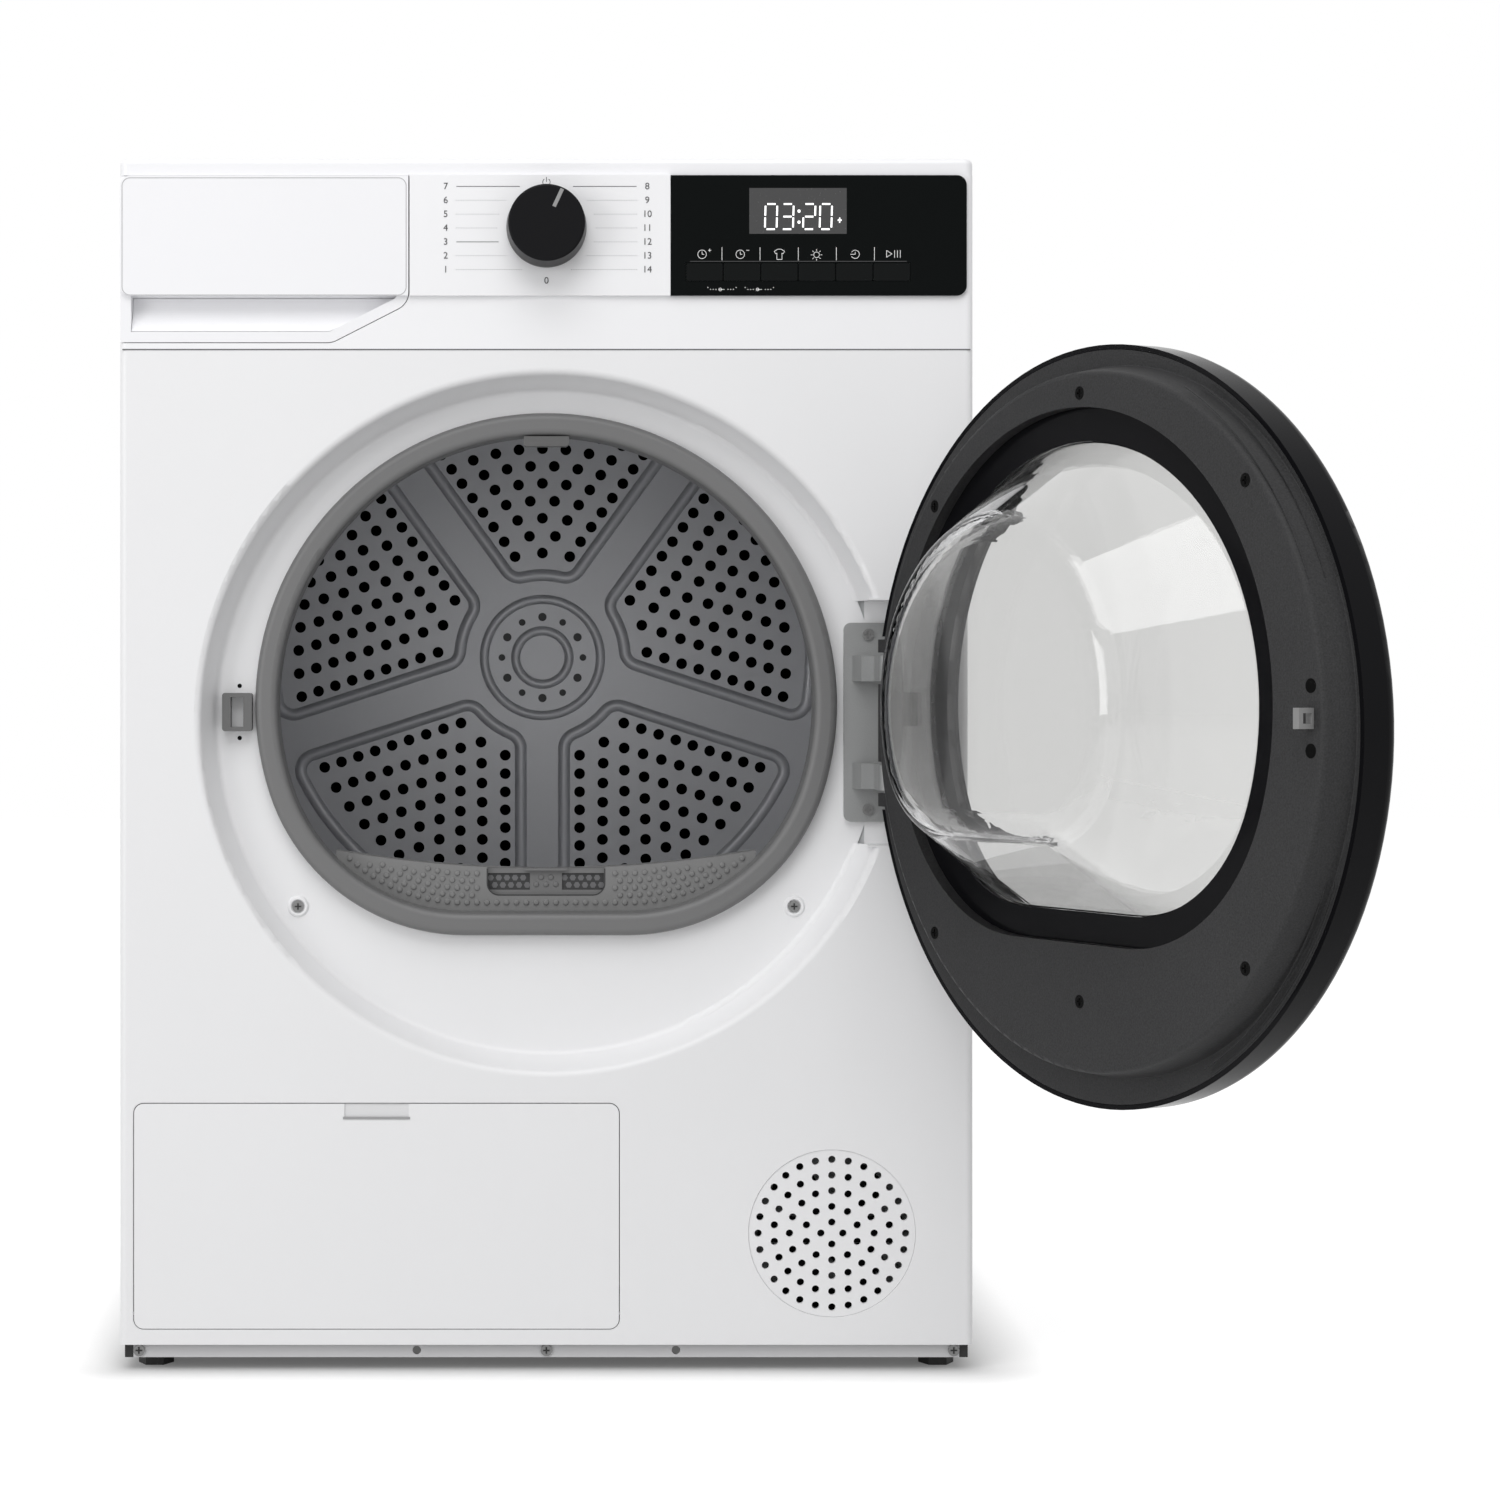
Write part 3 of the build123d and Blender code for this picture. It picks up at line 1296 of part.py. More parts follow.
# Inner frame: rim band, step, plateau, recessed ledge and hinge barrels
frame_centre_z = opening_z
with BuildPart() as door_inner_frame:
    with BuildSketch(Plane.XY.offset(plateau_z)):
        with BuildLine():
            FilletPolyline(
                (plateau_x + plateau_radius + 1.5 * frame_round, forward(door_rim + door_wall / 2)),
                (plateau_x + plateau_radius + frame_round, forward(door_rim + door_wall / 2)),
                (plateau_x + plateau_radius, forward(plateau_level + door_wall / 2)),
                (plateau_x + bowl_radius / 2, forward(plateau_level + door_wall / 2)),
                radius=frame_round / 2,
            )
        trace(line_width=door_wall)
    revolve(axis=plateau_axis)
    with BuildSketch(facing(forward(door_rim), recess_x, recess_z)):
        Circle(door_radius - door_wall - fit)
        with Locations((plateau_x - recess_x, plateau_z - recess_z)):
            Circle(plateau_radius + frame_round, mode=Mode.SUBTRACT)
    extrude(amount=door_wall)
    with BuildSketch(facing(forward(plateau_level), 0, frame_centre_z)) as tube:
        flat_footed(tube, frame_radius + door_wall, frame_flat_drop + door_wall, frame_corner + door_wall)
    extrude(amount=ledge_back - plateau_level)
    with BuildSketch(facing(forward(ledge_front), 0, frame_centre_z)) as well:
        flat_footed(well, frame_radius, frame_flat_drop, frame_corner)
    extrude(amount=-2 * recess_depth, mode=Mode.SUBTRACT)
    with BuildSketch(facing(forward(ledge_front), 0, frame_centre_z)) as port:
        flat_footed(port, bowl_radius + fit, bowl_flat_drop + fit, bowl_corner + fit)
    extrude(amount=2 * recess_depth, mode=Mode.SUBTRACT)
    with BuildSketch(Plane.XY.offset(hinge_foot)):
        with Locations((hinge_x, hinge_y)):
            Circle(knuckle_radius)
            Rectangle(hinge_web, hinge_forward - door_rim, align=(Align.MAX, Align.MIN))
    extrude(amount=hinge_head - hinge_foot)
    for knuckle_z in (hinge_low, hinge_high):
        with BuildSketch(facing(forward(-recess_depth), hinge_x, knuckle_z)):
            Rectangle(2 * (knuckle_radius + hinge_clear), knuckle_height + 2 * hinge_clear)
        extrude(amount=recess_depth + hinge_forward + 2 * knuckle_radius, mode=Mode.SUBTRACT)
    with BuildSketch(Plane.XY.offset(hinge_foot)):
        with Locations((hinge_x, hinge_y)):
            Circle(pin_radius)
    extrude(amount=hinge_head - hinge_foot, mode=Mode.SUBTRACT)
    with BuildSketch(facing(forward(plateau_level), plateau_x, plateau_z)):
        with Locations(*screw_places):
            Circle(screw_radius + fit)
    extrude(amount=screw_head, mode=Mode.SUBTRACT)
keep_on_door(door_inner_frame.part, "door_inner_frame")

# Glass bowl: a flange behind the ledge and a dome that draws in towards the drum
dome_end = bowl_depth - ledge_front
bowl_tip = bowl_radius - bowl_draw_in
bowl_tip_drop = bowl_flat_drop - bowl_draw_in
bowl_tip_corner = bowl_corner - bowl_draw_in
with BuildPart() as bowl_hollow:
    with BuildSketch(facing(forward(ledge_back), 0, frame_centre_z)) as foot:
        flat_footed(foot, bowl_radius - bowl_wall, bowl_flat_drop - bowl_wall, bowl_corner - bowl_wall)
    with BuildSketch(facing(forward(bowl_wall - dome_end), 0, frame_centre_z)) as tip:
        flat_footed(tip, bowl_tip - bowl_wall, bowl_tip_drop - bowl_wall, bowl_tip_corner - bowl_wall)
    loft()
    fillet(bowl_hollow.faces().sort_by(Axis.Y)[-1].edges(), bowl_round - bowl_wall)
with BuildPart() as door_bowl:
    with BuildSketch(facing(forward(ledge_back), 0, frame_centre_z)) as foot:
        flat_footed(foot, bowl_radius, bowl_flat_drop, bowl_corner)
    with BuildSketch(facing(forward(-dome_end), 0, frame_centre_z)) as tip:
        flat_footed(tip, bowl_tip, bowl_tip_drop, bowl_tip_corner)
    loft()
    fillet(door_bowl.faces().sort_by(Axis.Y)[-1].edges(), bowl_round)
    with BuildSketch(facing(forward(ledge_back), 0, frame_centre_z)) as flange:
        flat_footed(flange, bowl_radius + bowl_flange, bowl_flat_drop + bowl_flange,
                    bowl_corner + bowl_flange)
    extrude(amount=bowl_wall)
    add(bowl_hollow.part, mode=Mode.SUBTRACT)
    with BuildSketch(facing(forward(ledge_back), 0, frame_centre_z)) as mouth:
        flat_footed(mouth, bowl_radius - bowl_wall, bowl_flat_drop - bowl_wall, bowl_corner - bowl_wall)
    extrude(amount=bowl_wall, mode=Mode.SUBTRACT)
keep_on_door(door_bowl.part, "door_bowl")

# Latch hook: a small loop on the plateau
with BuildPart() as latch_hook:
    with BuildSketch(Plane.YZ.offset(catch_x - hook_thickness / 2)):
        with Locations((forward(plateau_level), catch_z)):
            Rectangle(hook_reach, hook_width, align=(Align.MIN, Align.CENTER))
            Rectangle(hook_reach - hook_loop, hook_width - 2 * hook_loop, align=(Align.MIN, Align.CENTER),
                      mode=Mode.SUBTRACT)
    extrude(amount=hook_thickness)
    with BuildSketch(facing(forward(plateau_level), catch_x, catch_z)):
        Rectangle(hook_thickness, hook_width)
    extrude(amount=-hook_loop / 2)
keep_on_door(latch_hook.part, "latch_hook")

# Screws of the inner frame
with BuildPart() as door_screws:
    with BuildSketch(facing(forward(plateau_level), plateau_x, plateau_z)):
        with Locations(*screw_places):
            Circle(screw_radius)
    extrude(amount=screw_head)
    with BuildSketch(facing(forward(plateau_level), plateau_x, plateau_z)):
        with Locations(*screw_places):
            Rectangle(screw_slot_length, screw_slot_width)
            Rectangle(screw_slot_width, screw_slot_length)
    extrude(amount=screw_head / 2, mode=Mode.SUBTRACT)
keep_on_door(door_screws.part, "door_screws")
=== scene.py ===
# %% [markdown]
# # A clothes dryer with its door open
# The machine stands on a pale floor with its round door swung out to the right, so that the grey
# mouth ring, the lint filter and the pressed steel back of the drum can be seen.
# The solid model already holds every panel, hinge and shaft in metres. This lesson dresses it:
# first the stage, then the finishes, then the small pieces that a maker would print, clip or mould on.

# %% Load the solid model
import json
import math

import bmesh
import bpy
from mathutils import Matrix, Vector


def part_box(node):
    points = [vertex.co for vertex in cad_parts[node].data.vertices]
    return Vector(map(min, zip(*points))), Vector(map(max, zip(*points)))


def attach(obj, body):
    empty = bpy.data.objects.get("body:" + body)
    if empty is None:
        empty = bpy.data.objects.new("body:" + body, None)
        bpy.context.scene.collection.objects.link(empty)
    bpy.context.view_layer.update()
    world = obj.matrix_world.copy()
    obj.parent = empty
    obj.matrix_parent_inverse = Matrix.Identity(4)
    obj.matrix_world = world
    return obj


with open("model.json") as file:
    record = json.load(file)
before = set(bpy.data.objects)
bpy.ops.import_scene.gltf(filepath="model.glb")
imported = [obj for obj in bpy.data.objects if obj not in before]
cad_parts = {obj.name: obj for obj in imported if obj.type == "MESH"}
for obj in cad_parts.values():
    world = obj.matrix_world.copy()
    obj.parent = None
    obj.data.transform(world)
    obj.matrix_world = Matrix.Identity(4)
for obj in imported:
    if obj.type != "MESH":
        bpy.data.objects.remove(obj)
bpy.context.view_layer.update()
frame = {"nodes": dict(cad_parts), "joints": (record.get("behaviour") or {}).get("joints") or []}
scene = bpy.context.scene
scene.view_settings.view_transform = "Standard"

# %% [markdown]
# ## Where things are
# Nearly everything that follows sits on the front of the cabinet, so a few depths are measured from
# the solids once and reused. Depth runs along Y, and smaller numbers are nearer to the viewer.

# %% Depths and places measured from the solids
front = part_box("front_panel")[0].y
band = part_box("control_fascia")[0].y
recess_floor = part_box("hinge_bracket")[1].y
duct_low, duct_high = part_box("air_duct")
filter_low, filter_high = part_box("lint_filter")
knob_low, knob_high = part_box("program_knob")
knob_z = (knob_low.z + knob_high.z) / 2
catch_low, catch_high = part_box("door_catch")
ring_low, ring_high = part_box("opening_ring")
pin_low, pin_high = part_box("hinge_pin")
hinge = (pin_low + pin_high) / 2
pane_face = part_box("display_window")[0].y
door_swing = math.radians(-frame["joints"][0]["range_deg"][0])
opening_z = ring_high.z - (ring_high.x - ring_low.x) / 2
door_x = 0.0015
door_z = hinge.z
print("front", round(front, 4), "knob height", round(knob_z, 4))
print("door swing", round(math.degrees(door_swing), 1), "degrees")

# %% [markdown]
# ## Camera
# The picture was taken level with the middle of the door by a long lens, a little left of the
# machine's middle. The machine stands left in the frame, because the open door needs room, so the
# lens is shifted sideways instead of being turned: level lines stay level.

# %% Camera
view_distance, view_width = 2.23, 1.0505
view_aside, view_height = -0.015, 0.480
camera_data = bpy.data.cameras.new("camera")
camera_data.sensor_width = 36.0
camera_data.lens = camera_data.sensor_width * view_distance / view_width
camera_data.shift_x = 0.1500
camera_data.shift_y = -0.0423
camera = bpy.data.objects.new("camera", camera_data)
camera.location = (view_aside, front - view_distance, view_height)
camera.rotation_euler = (math.radians(90), 0, 0)
scene.collection.objects.link(camera)
scene.camera = camera
print("lens", round(camera_data.lens, 1), "mm")

# %% [markdown]
# ## World
# A product picture has a white ground. The world shows plain white to the camera, to mirrors and
# through glass, but lights the machine at a lower level, so that white paint keeps its shading.
# A short helper adds the shader nodes, here and in the finishes.

# %% World
white = (1, 1, 1, 1)
world_light, world_white = 0.60, 1.0


def add_node(tree, kind, *in_order, operation=None, **by_name):
    """New shader node, with inputs set to values or fed by sockets, in order or by name."""
    node = tree.nodes.new("ShaderNode" + kind)
    if operation:
        node.operation = operation
    feeds = list(zip(node.inputs, in_order))
    feeds += [(node.inputs[name.replace("_", " ")], value) for name, value in by_name.items()]
    for socket, value in feeds:
        if isinstance(value, bpy.types.NodeSocket):
            tree.links.new(value, socket)
        elif value is not None:
            socket.default_value = value
    return node


def seen_directly(tree):
    """One where a ray comes from the camera, a mirror or a pane, and nothing elsewhere."""
    path = add_node(tree, "LightPath")
    total = path.outputs["Is Camera Ray"]
    for ray in ("Is Glossy Ray", "Is Transmission Ray"):
        total = add_node(tree, "Math", total, path.outputs[ray], operation="MAXIMUM").outputs[0]
    return total


world = bpy.data.worlds.new("studio")
scene.world = world
world.use_nodes = True
sky = world.node_tree
lit = sky.nodes["Background"]
lit.inputs["Color"].default_value = white
lit.inputs["Strength"].default_value = world_light
shown = add_node(sky, "Background", Color=white, Strength=world_white)
choose = add_node(sky, "MixShader", seen_directly(sky), lit.outputs[0], shown.outputs[0])
sky.links.new(choose.outputs[0], sky.nodes["World Output"].inputs["Surface"])
print("world lights at", world_light, "and shows", world_white)

# %% [markdown]
# ## Floor
# The floor is real, because it catches the soft shadow under the plinth. Where it is seen directly
# it adds a little light of its own, which lifts it to the white of the world. That light fades close
# to the machine, which paints a shadow round the plinth on top of the real one and keeps the dark
# line under it. Four steps of vector math measure how close: fold the floor into one quarter, take
# off half the footprint, keep what is outside, take its length.

# %% Floor
floor_reach = 9.0
floor_grey = (0.70, 0.70, 0.70, 1)
half_footprint = 0.29
painted_shadow_reach = 0.07
lift_near, lift_far = 0.10, 0.60
floor_mesh = bpy.data.meshes.new("floor")
corners = [(u * floor_reach, v * floor_reach, 0) for u, v in ((-1, -1), (1, -1), (1, 1), (-1, 1))]
floor_mesh.from_pydata(corners, [], [(0, 1, 2, 3)])
floor = bpy.data.objects.new("floor", floor_mesh)
scene.collection.objects.link(floor)
floor_paint = bpy.data.materials.new("floor_paint")
floor_paint.use_nodes = True
coat = floor_paint.node_tree
coat.nodes.remove(coat.nodes["Principled BSDF"])
spot = add_node(coat, "TexCoord").outputs["Object"]
steps = (("ABSOLUTE", None), ("SUBTRACT", (half_footprint, half_footprint, 0)),
         ("MAXIMUM", (0, 0, 0)), ("LENGTH", None))
for operation, operand in steps:
    outside = add_node(coat, "VectorMath", spot, operand, operation=operation)
    spot = outside.outputs["Value" if operation == "LENGTH" else "Vector"]
# less lift close to the machine: a painted shadow round the plinth
painted_shadow_fade = add_node(coat, "MapRange", Value=spot, From_Max=painted_shadow_reach, To_Min=lift_near, To_Max=lift_far)
scaled = add_node(coat, "Math", seen_directly(coat), painted_shadow_fade.outputs["Result"], operation="MULTIPLY")
lift = add_node(coat, "Emission", Color=white, Strength=scaled.outputs[0])
matt = add_node(coat, "BsdfDiffuse", Color=floor_grey)
both = add_node(coat, "AddShader", matt.outputs[0], lift.outputs[0])
coat.links.new(both.outputs[0], coat.nodes["Material Output"].inputs["Surface"])
floor_mesh.materials.append(floor_paint)
print("floor", 2 * floor_reach, "m square")

# %% [markdown]
# ## Lamps
# The dish round the door is darker at the top than at the bottom, so the main light, one broad
# softbox, comes from above and in front. A second, weaker one at the left front keeps the black door
# from turning into a silhouette and draws the bright streaks on its glass bowl.

# %% Lamps
def softbox(name, place, aim, size, power):
    """Square lamp at a place, turned towards a point."""
    data = bpy.data.lights.new(name, "AREA")
    data.energy = power
    data.size = size
    lamp = bpy.data.objects.new(name, data)
    lamp.location = place
    lamp.rotation_euler = (Vector(aim) - Vector(place)).to_track_quat("-Z", "Y").to_euler()
    scene.collection.objects.link(lamp)


softbox("top_softbox", place=(-0.3, -2.2, 3.0), aim=(0.1, -0.2, 0.5), size=2.2, power=44.0)
softbox("left_softbox", place=(-2.4, -2.6, 1.0), aim=(0.2, -0.3, 0.3), size=1.4, power=20.0)

# %% [markdown]
# ## Finishes
# A moulded or painted surface is never one flat colour. Each finish here has the same three layers:
# a slow cloud that shifts the colour a little, a fine grain that makes the gloss uneven, and the
# same grain as a bump. One function builds them, and each finish gives its own sizes, because
# orange peel in paint is more than a millimetre wide and spark-eroded plastic less than half of that.

# %% Finish builder
cloud_scale, cloud_detail, grain_detail = 7.0, 3.0, 2.0
bump_depth = 0.0003
worn = []


def finish(name, colour, roughness, grain=0.1, grain_size=0.0008, shade=0.03, spread=0.06,
           stretch=(1, 1, 1), flat=False, fleck=0.0, **sockets):
    """Finish with uneven colour, uneven gloss and a fine bump, measured in metres.

    A flat finish keeps the true direction of each face, so that wide plates stay plane to their edges.
    A fleck lets the fine grain darken and lighten the colour as well.
    """
    material = bpy.data.materials.new(name)
    material.use_nodes = True
    tree = material.node_tree
    shader = tree.nodes["Principled BSDF"]
    for socket, value in sockets.items():
        shader.inputs[socket.replace("_", " ").title().replace("Ior", "IOR")].default_value = value
    place = add_node(tree, "TexCoord").outputs["Object"]
    squeezed = add_node(tree, "Mapping", Vector=place, Scale=stretch).outputs["Vector"]
    cloud = add_node(tree, "TexNoise", Vector=place, Scale=cloud_scale, Detail=cloud_detail).outputs["Fac"]
    fine = add_node(tree, "TexNoise", Vector=squeezed, Scale=1 / grain_size, Detail=grain_detail)
    speck = fine.outputs["Fac"]
    tint = tree.nodes.new("ShaderNodeMix")
    tint.data_type = "RGBA"
    tint.inputs["A"].default_value = (*[c * (1 - shade) for c in colour], 1)
    tint.inputs["B"].default_value = (*[min(1, c * (1 + shade)) for c in colour], 1)
    tree.links.new(cloud, tint.inputs["Factor"])
    level = add_node(tree, "MapRange", Value=speck, To_Min=1 - fleck, To_Max=1 + fleck).outputs["Result"]
    flecked = add_node(tree, "VectorMath", tint.outputs["Result"], operation="SCALE", Scale=level)
    gloss = add_node(tree, "MapRange", Value=speck, To_Min=max(0.0, roughness - spread),
                     To_Max=min(1.0, roughness + spread))
    bump = add_node(tree, "Bump", Height=speck, Strength=grain, Distance=bump_depth)
    if flat:
        facing = add_node(tree, "NewGeometry")
        tree.links.new(facing.outputs["True Normal"], bump.inputs["Normal"])
    tree.links.new(flecked.outputs["Vector"], shader.inputs["Base Color"])
    tree.links.new(gloss.outputs["Result"], shader.inputs["Roughness"])
    tree.links.new(bump.outputs["Normal"], shader.inputs["Normal"])
    return material


def wear(material, *names):
    """Give these pieces of the solid model this finish."""
    for name in names:
        for place in frame["nodes"][name].material_slots:
            place.material = material
        worn.append(name)


print("finish builder ready for", len(frame["nodes"]), "pieces")

# %% [markdown]
# ## Painted and moulded whites
# The folded steel panels carry powder paint with a faint orange peel. The worktop, the fascia and the
# drawer front are moulded, a touch brighter and smoother, as plastics beside paint are. The flap and
# its grille are duller. The plinth below them is grey: painted shade for its set-back place.

# %% Whites
cabinet_paint = finish("cabinet_paint", (0.83, 0.83, 0.84), 0.40, grain_size=0.0016,
                       shade=0.012)
moulded_white = finish("moulded_white", (0.885, 0.885, 0.90), 0.38, grain=0.06, grain_size=0.0007,
                       shade=0.010, flat=True)
bright_white = finish("bright_white", (0.885, 0.885, 0.905), 0.36, grain=0.06, grain_size=0.0007,
                      shade=0.010, flat=True)
flap_white = finish("flap_white", (0.835, 0.835, 0.845), 0.44, grain=0.12, grain_size=0.0006,
                    shade=0.012, flat=True)
# darker than the other whites: painted shade for the set-back plinth under the cabinet
plinth_shade_grey = finish("plinth_shade_grey", (0.62, 0.62, 0.63), 0.46, grain=0.12, grain_size=0.0006,
                     shade=0.02, flat=True)
wear(cabinet_paint, "side_panel_left", "side_panel_right", "front_panel")
wear(moulded_white, "control_fascia")
wear(bright_white, "worktop", "water_drawer_front")
wear(flap_white, "service_flap", "vent_grille")
wear(plinth_shade_grey, "plinth")
print("pieces finished", len(worn))

# %% [markdown]
# ## Greys
# The mouth ring, the air duct and the filter are close shades of one grey plastic with a fine
# spark-eroded grain. The hinge is a zinc casting: rougher, a little metallic and sandy to look at.

# %% Greys
ring_grey = finish("ring_grey", (0.155, 0.155, 0.156), 0.46, grain=0.22, grain_size=0.0006, shade=0.05)
duct_grey = finish("duct_grey", (0.20, 0.20, 0.20), 0.50, grain=0.22, grain_size=0.0006, shade=0.05)
catch_grey = finish("catch_grey", (0.12, 0.12, 0.12), 0.44, grain=0.12, grain_size=0.0005, shade=0.04)
latch_grey = finish("latch_grey", (0.23, 0.23, 0.23), 0.42, grain=0.12, grain_size=0.0005, shade=0.04)
cast_zinc = finish("cast_zinc", (0.30, 0.305, 0.305), 0.50, grain=0.45, grain_size=0.0007, shade=0.06,
                   metallic=0.35)
filter_grey = finish("filter_grey", (0.155, 0.155, 0.156), 0.48, grain=0.22, grain_size=0.0006, shade=0.05)
lamp_cover = finish("lamp_cover", (0.10, 0.10, 0.10), 0.30, grain=0.05)
wear(ring_grey, "opening_ring")
wear(duct_grey, "air_duct")
wear(filter_grey, "lint_filter")
wear(catch_grey, "door_catch")
wear(latch_grey, "latch_hook")
wear(cast_zinc, "hinge_bracket")
wear(lamp_cover, "drum_lamp")
print("pieces finished", len(worn))

# %% [markdown]
# ## Blacks
# Two blacks make the door: a leathery grain on the inside that hardly shines, and a polished ring
# outside. The knob is satin, and the display pane and its keys are smooth. Behind the drum a dead
# black, the bulkhead's own black deepened into painted shade, keeps the drum's holes dark.

# %% Blacks
door_grain = finish("door_grain", (0.036, 0.036, 0.037), 0.55, grain=0.60, grain_size=0.0011, shade=0.12,
                    spread=0.10, specular_ior_level=0.16, fleck=0.55)
door_gloss = finish("door_gloss", (0.006, 0.006, 0.007), 0.16, grain=0.02, grain_size=0.004, shade=0.08,
                    spread=0.03, specular_ior_level=0.05)
knob_black = finish("knob_black", (0.005, 0.005, 0.006), 0.34, grain=0.08, grain_size=0.0005, shade=0.06,
                    specular_ior_level=0.10)
pane_black = finish("pane_black", (0.003, 0.004, 0.004), 0.10, grain=0.01, grain_size=0.005, shade=0.10,
                    spread=0.02, specular_ior_level=0.05, flat=True)
key_black = finish("key_black", (0.004, 0.005, 0.005), 0.16, grain=0.02, grain_size=0.003, shade=0.08,
                   spread=0.03, specular_ior_level=0.09, flat=True)
foot_rubber = finish("foot_rubber", (0.012, 0.012, 0.012), 0.62, grain=0.3, grain_size=0.0006, shade=0.10)
dark_moulding = finish("dark_moulding", (0.008, 0.008, 0.009), 0.55, grain=0.2, grain_size=0.0009, shade=0.08,
                       specular_ior_level=0.08)
# dead black with almost no shine: the bulkhead's own black, deepened into painted shade behind the drum's
# holes
bulkhead_black_and_painted_shade = finish("bulkhead_black_and_painted_shade", (0.003, 0.003, 0.003), 0.7, grain=0.2, grain_size=0.0009, shade=0.08,
                    specular_ior_level=0.02)
wear(door_grain, "door_inner_frame")
wear(door_gloss, "door_outer_ring")
wear(knob_black, "program_knob")
wear(pane_black, "display_window")
wear(key_black, *[f"key_{number}" for number in range(1, 7)])
wear(foot_rubber, *[f"levelling_foot_{number}" for number in range(1, 5)])
wear(dark_moulding, "cord_gland", "drain_spigot", "drum_roller_left", "drum_roller_right", "idler_pulley",
     "process_fan", "cooling_fan", "drive_belt", "base_tray")
wear(bulkhead_black_and_painted_shade, "rear_bulkhead")
print("pieces finished", len(worn))

# %% [markdown]
# ## Metals
# The drum is satin stainless steel with fine upright lines from the roll. The rear panel is zinc
# coated, which shows as soft crystals, and the screws are plated a dull grey, or blackened in the
# door. Hidden pieces get a finish too, because some show when the drawer, the flap or the filter moves.

# %% Metals
drum_steel = finish("drum_steel", (0.60, 0.605, 0.625), 0.44, grain_size=0.0012, shade=0.05,
                    stretch=(1, 1, 0.25), metallic=0.40)
zinc_sheet = finish("zinc_sheet", (0.46, 0.47, 0.48), 0.44, grain_size=0.006, shade=0.10,
                    metallic=0.8)
screw_steel = finish("screw_steel", (0.42, 0.42, 0.42), 0.32, grain=0.05, grain_size=0.0006, shade=0.05,
                     metallic=0.9)
plated_screw = finish("plated_screw", (0.22, 0.22, 0.22), 0.40, grain=0.05, grain_size=0.0006, shade=0.05,
                      metallic=0.5)
black_screw = finish("black_screw", (0.004, 0.004, 0.004), 0.50, grain_size=0.0005, shade=0.06,
                     specular_ior_level=0.05)
bush_bronze = finish("bush_bronze", (0.45, 0.30, 0.12), 0.40, metallic=0.9)
baked_black = finish("baked_black", (0.03, 0.03, 0.032), 0.45, grain=0.2, grain_size=0.001)
fin_metal = finish("fin_metal", (0.62, 0.63, 0.65), 0.35, grain_size=0.001, metallic=0.9)
inner_plastic = finish("inner_plastic", (0.50, 0.51, 0.52), 0.5, grain=0.15, grain_size=0.0009)
board_green = finish("board_green", (0.03, 0.12, 0.06), 0.35, grain_size=0.0012)
wear(drum_steel, "drum_shell", "drum_rear_wall", "drum_lifters", "hinge_pin")
wear(zinc_sheet, "rear_panel")
wear(screw_steel, "motor_shaft", "idler_arm")
wear(plated_screw, "cabinet_screws")
wear(black_screw, "door_screws")
wear(bush_bronze, "bearing_bush")
wear(baked_black, "compressor", "drive_motor", "drum_shaft")
wear(fin_metal, "heat_exchangers")
wear(inner_plastic, "water_tank", "tank_channel", "front_bulkhead")
wear(board_green, "control_board")
print("pieces finished", len(worn))

# %% [markdown]
# ## Glass
# The bowl is clear glass and the outer window a flat tinted pane. The bowl takes little of the light,
# so the tint of the pane sets the grey that the white ground behind turns into.

# %% Glass
bowl_glass = finish("bowl_glass", (0.93, 0.93, 0.925), 0.012, grain=0.004, grain_size=0.03, shade=0.004,
                    spread=0.010, transmission_weight=1.0, ior=1.46)
pane_glass = finish("pane_glass", (0.69, 0.69, 0.685), 0.015, grain=0.004, grain_size=0.03, shade=0.004,
                    spread=0.012, transmission_weight=1.0, ior=1.46)
wear(bowl_glass, "door_bowl")
wear(pane_glass, "door_window")
print("pieces finished", len(worn), "left over", sorted(set(frame["nodes"]) - set(worn)))

# %% [markdown]
# ## Drawing on the front
# Printed marks and thin trim are all flat shapes that stand on a surface. A small kit covers them:
# a prism from an outline, a band between two outlines, and a stroke along a line of points.
# Everything is real geometry. Print stands about a tenth of a millimetre proud, so it also shows in
# the exported meshes.

# %% Flat shapes
ink_height = 0.00012


def prism(bm, outline, back, face):
    """Add a solid with this x and z outline between two depths."""
    rear = [bm.verts.new((x, back, z)) for x, z in outline]
    fore = [bm.verts.new((x, face, z)) for x, z in outline]
    bm.faces.new(fore)
    bm.faces.new(list(reversed(rear)))
    for k in range(len(outline)):
        after = (k + 1) % len(outline)
        bm.faces.new((rear[k], rear[after], fore[after], fore[k]))


def join_rings(bm, rings):
    """Close a chain of rings of points into a tube whose last ring meets the first."""
    count = len(rings[0])
    for low, high in zip(rings, rings[1:] + rings[:1]):
        for k in range(count):
            after = (k + 1) % count
            bm.faces.new((low[k], low[after], high[after], high[k]))


def band_between(bm, outer, inner, back, face):
    """Add a closed band between two outlines that have the same number of points."""
    edges = ((outer, back), (outer, face), (inner, face), (inner, back))
    join_rings(bm, [[bm.verts.new((x, y, z)) for x, z in line] for line, y in edges])


def stroke(bm, points, width, back, face):
    """Add a line of this width along the points."""
    for (x0, z0), (x1, z1) in zip(points, points[1:]):
        length = math.hypot(x1 - x0, z1 - z0)
        across = (-(z1 - z0) / length * width / 2, (x1 - x0) / length * width / 2)
        prism(bm, [(x0 + across[0], z0 + across[1]), (x0 - across[0], z0 - across[1]),
                   (x1 - across[0], z1 - across[1]), (x1 + across[0], z1 + across[1])], back, face)


print("print stands", ink_height, "m proud")

# %% [markdown]
# ## Round shapes
# Arcs give the outlines of dots and of plates with round corners.

# %% Round shapes
corner_steps = 8


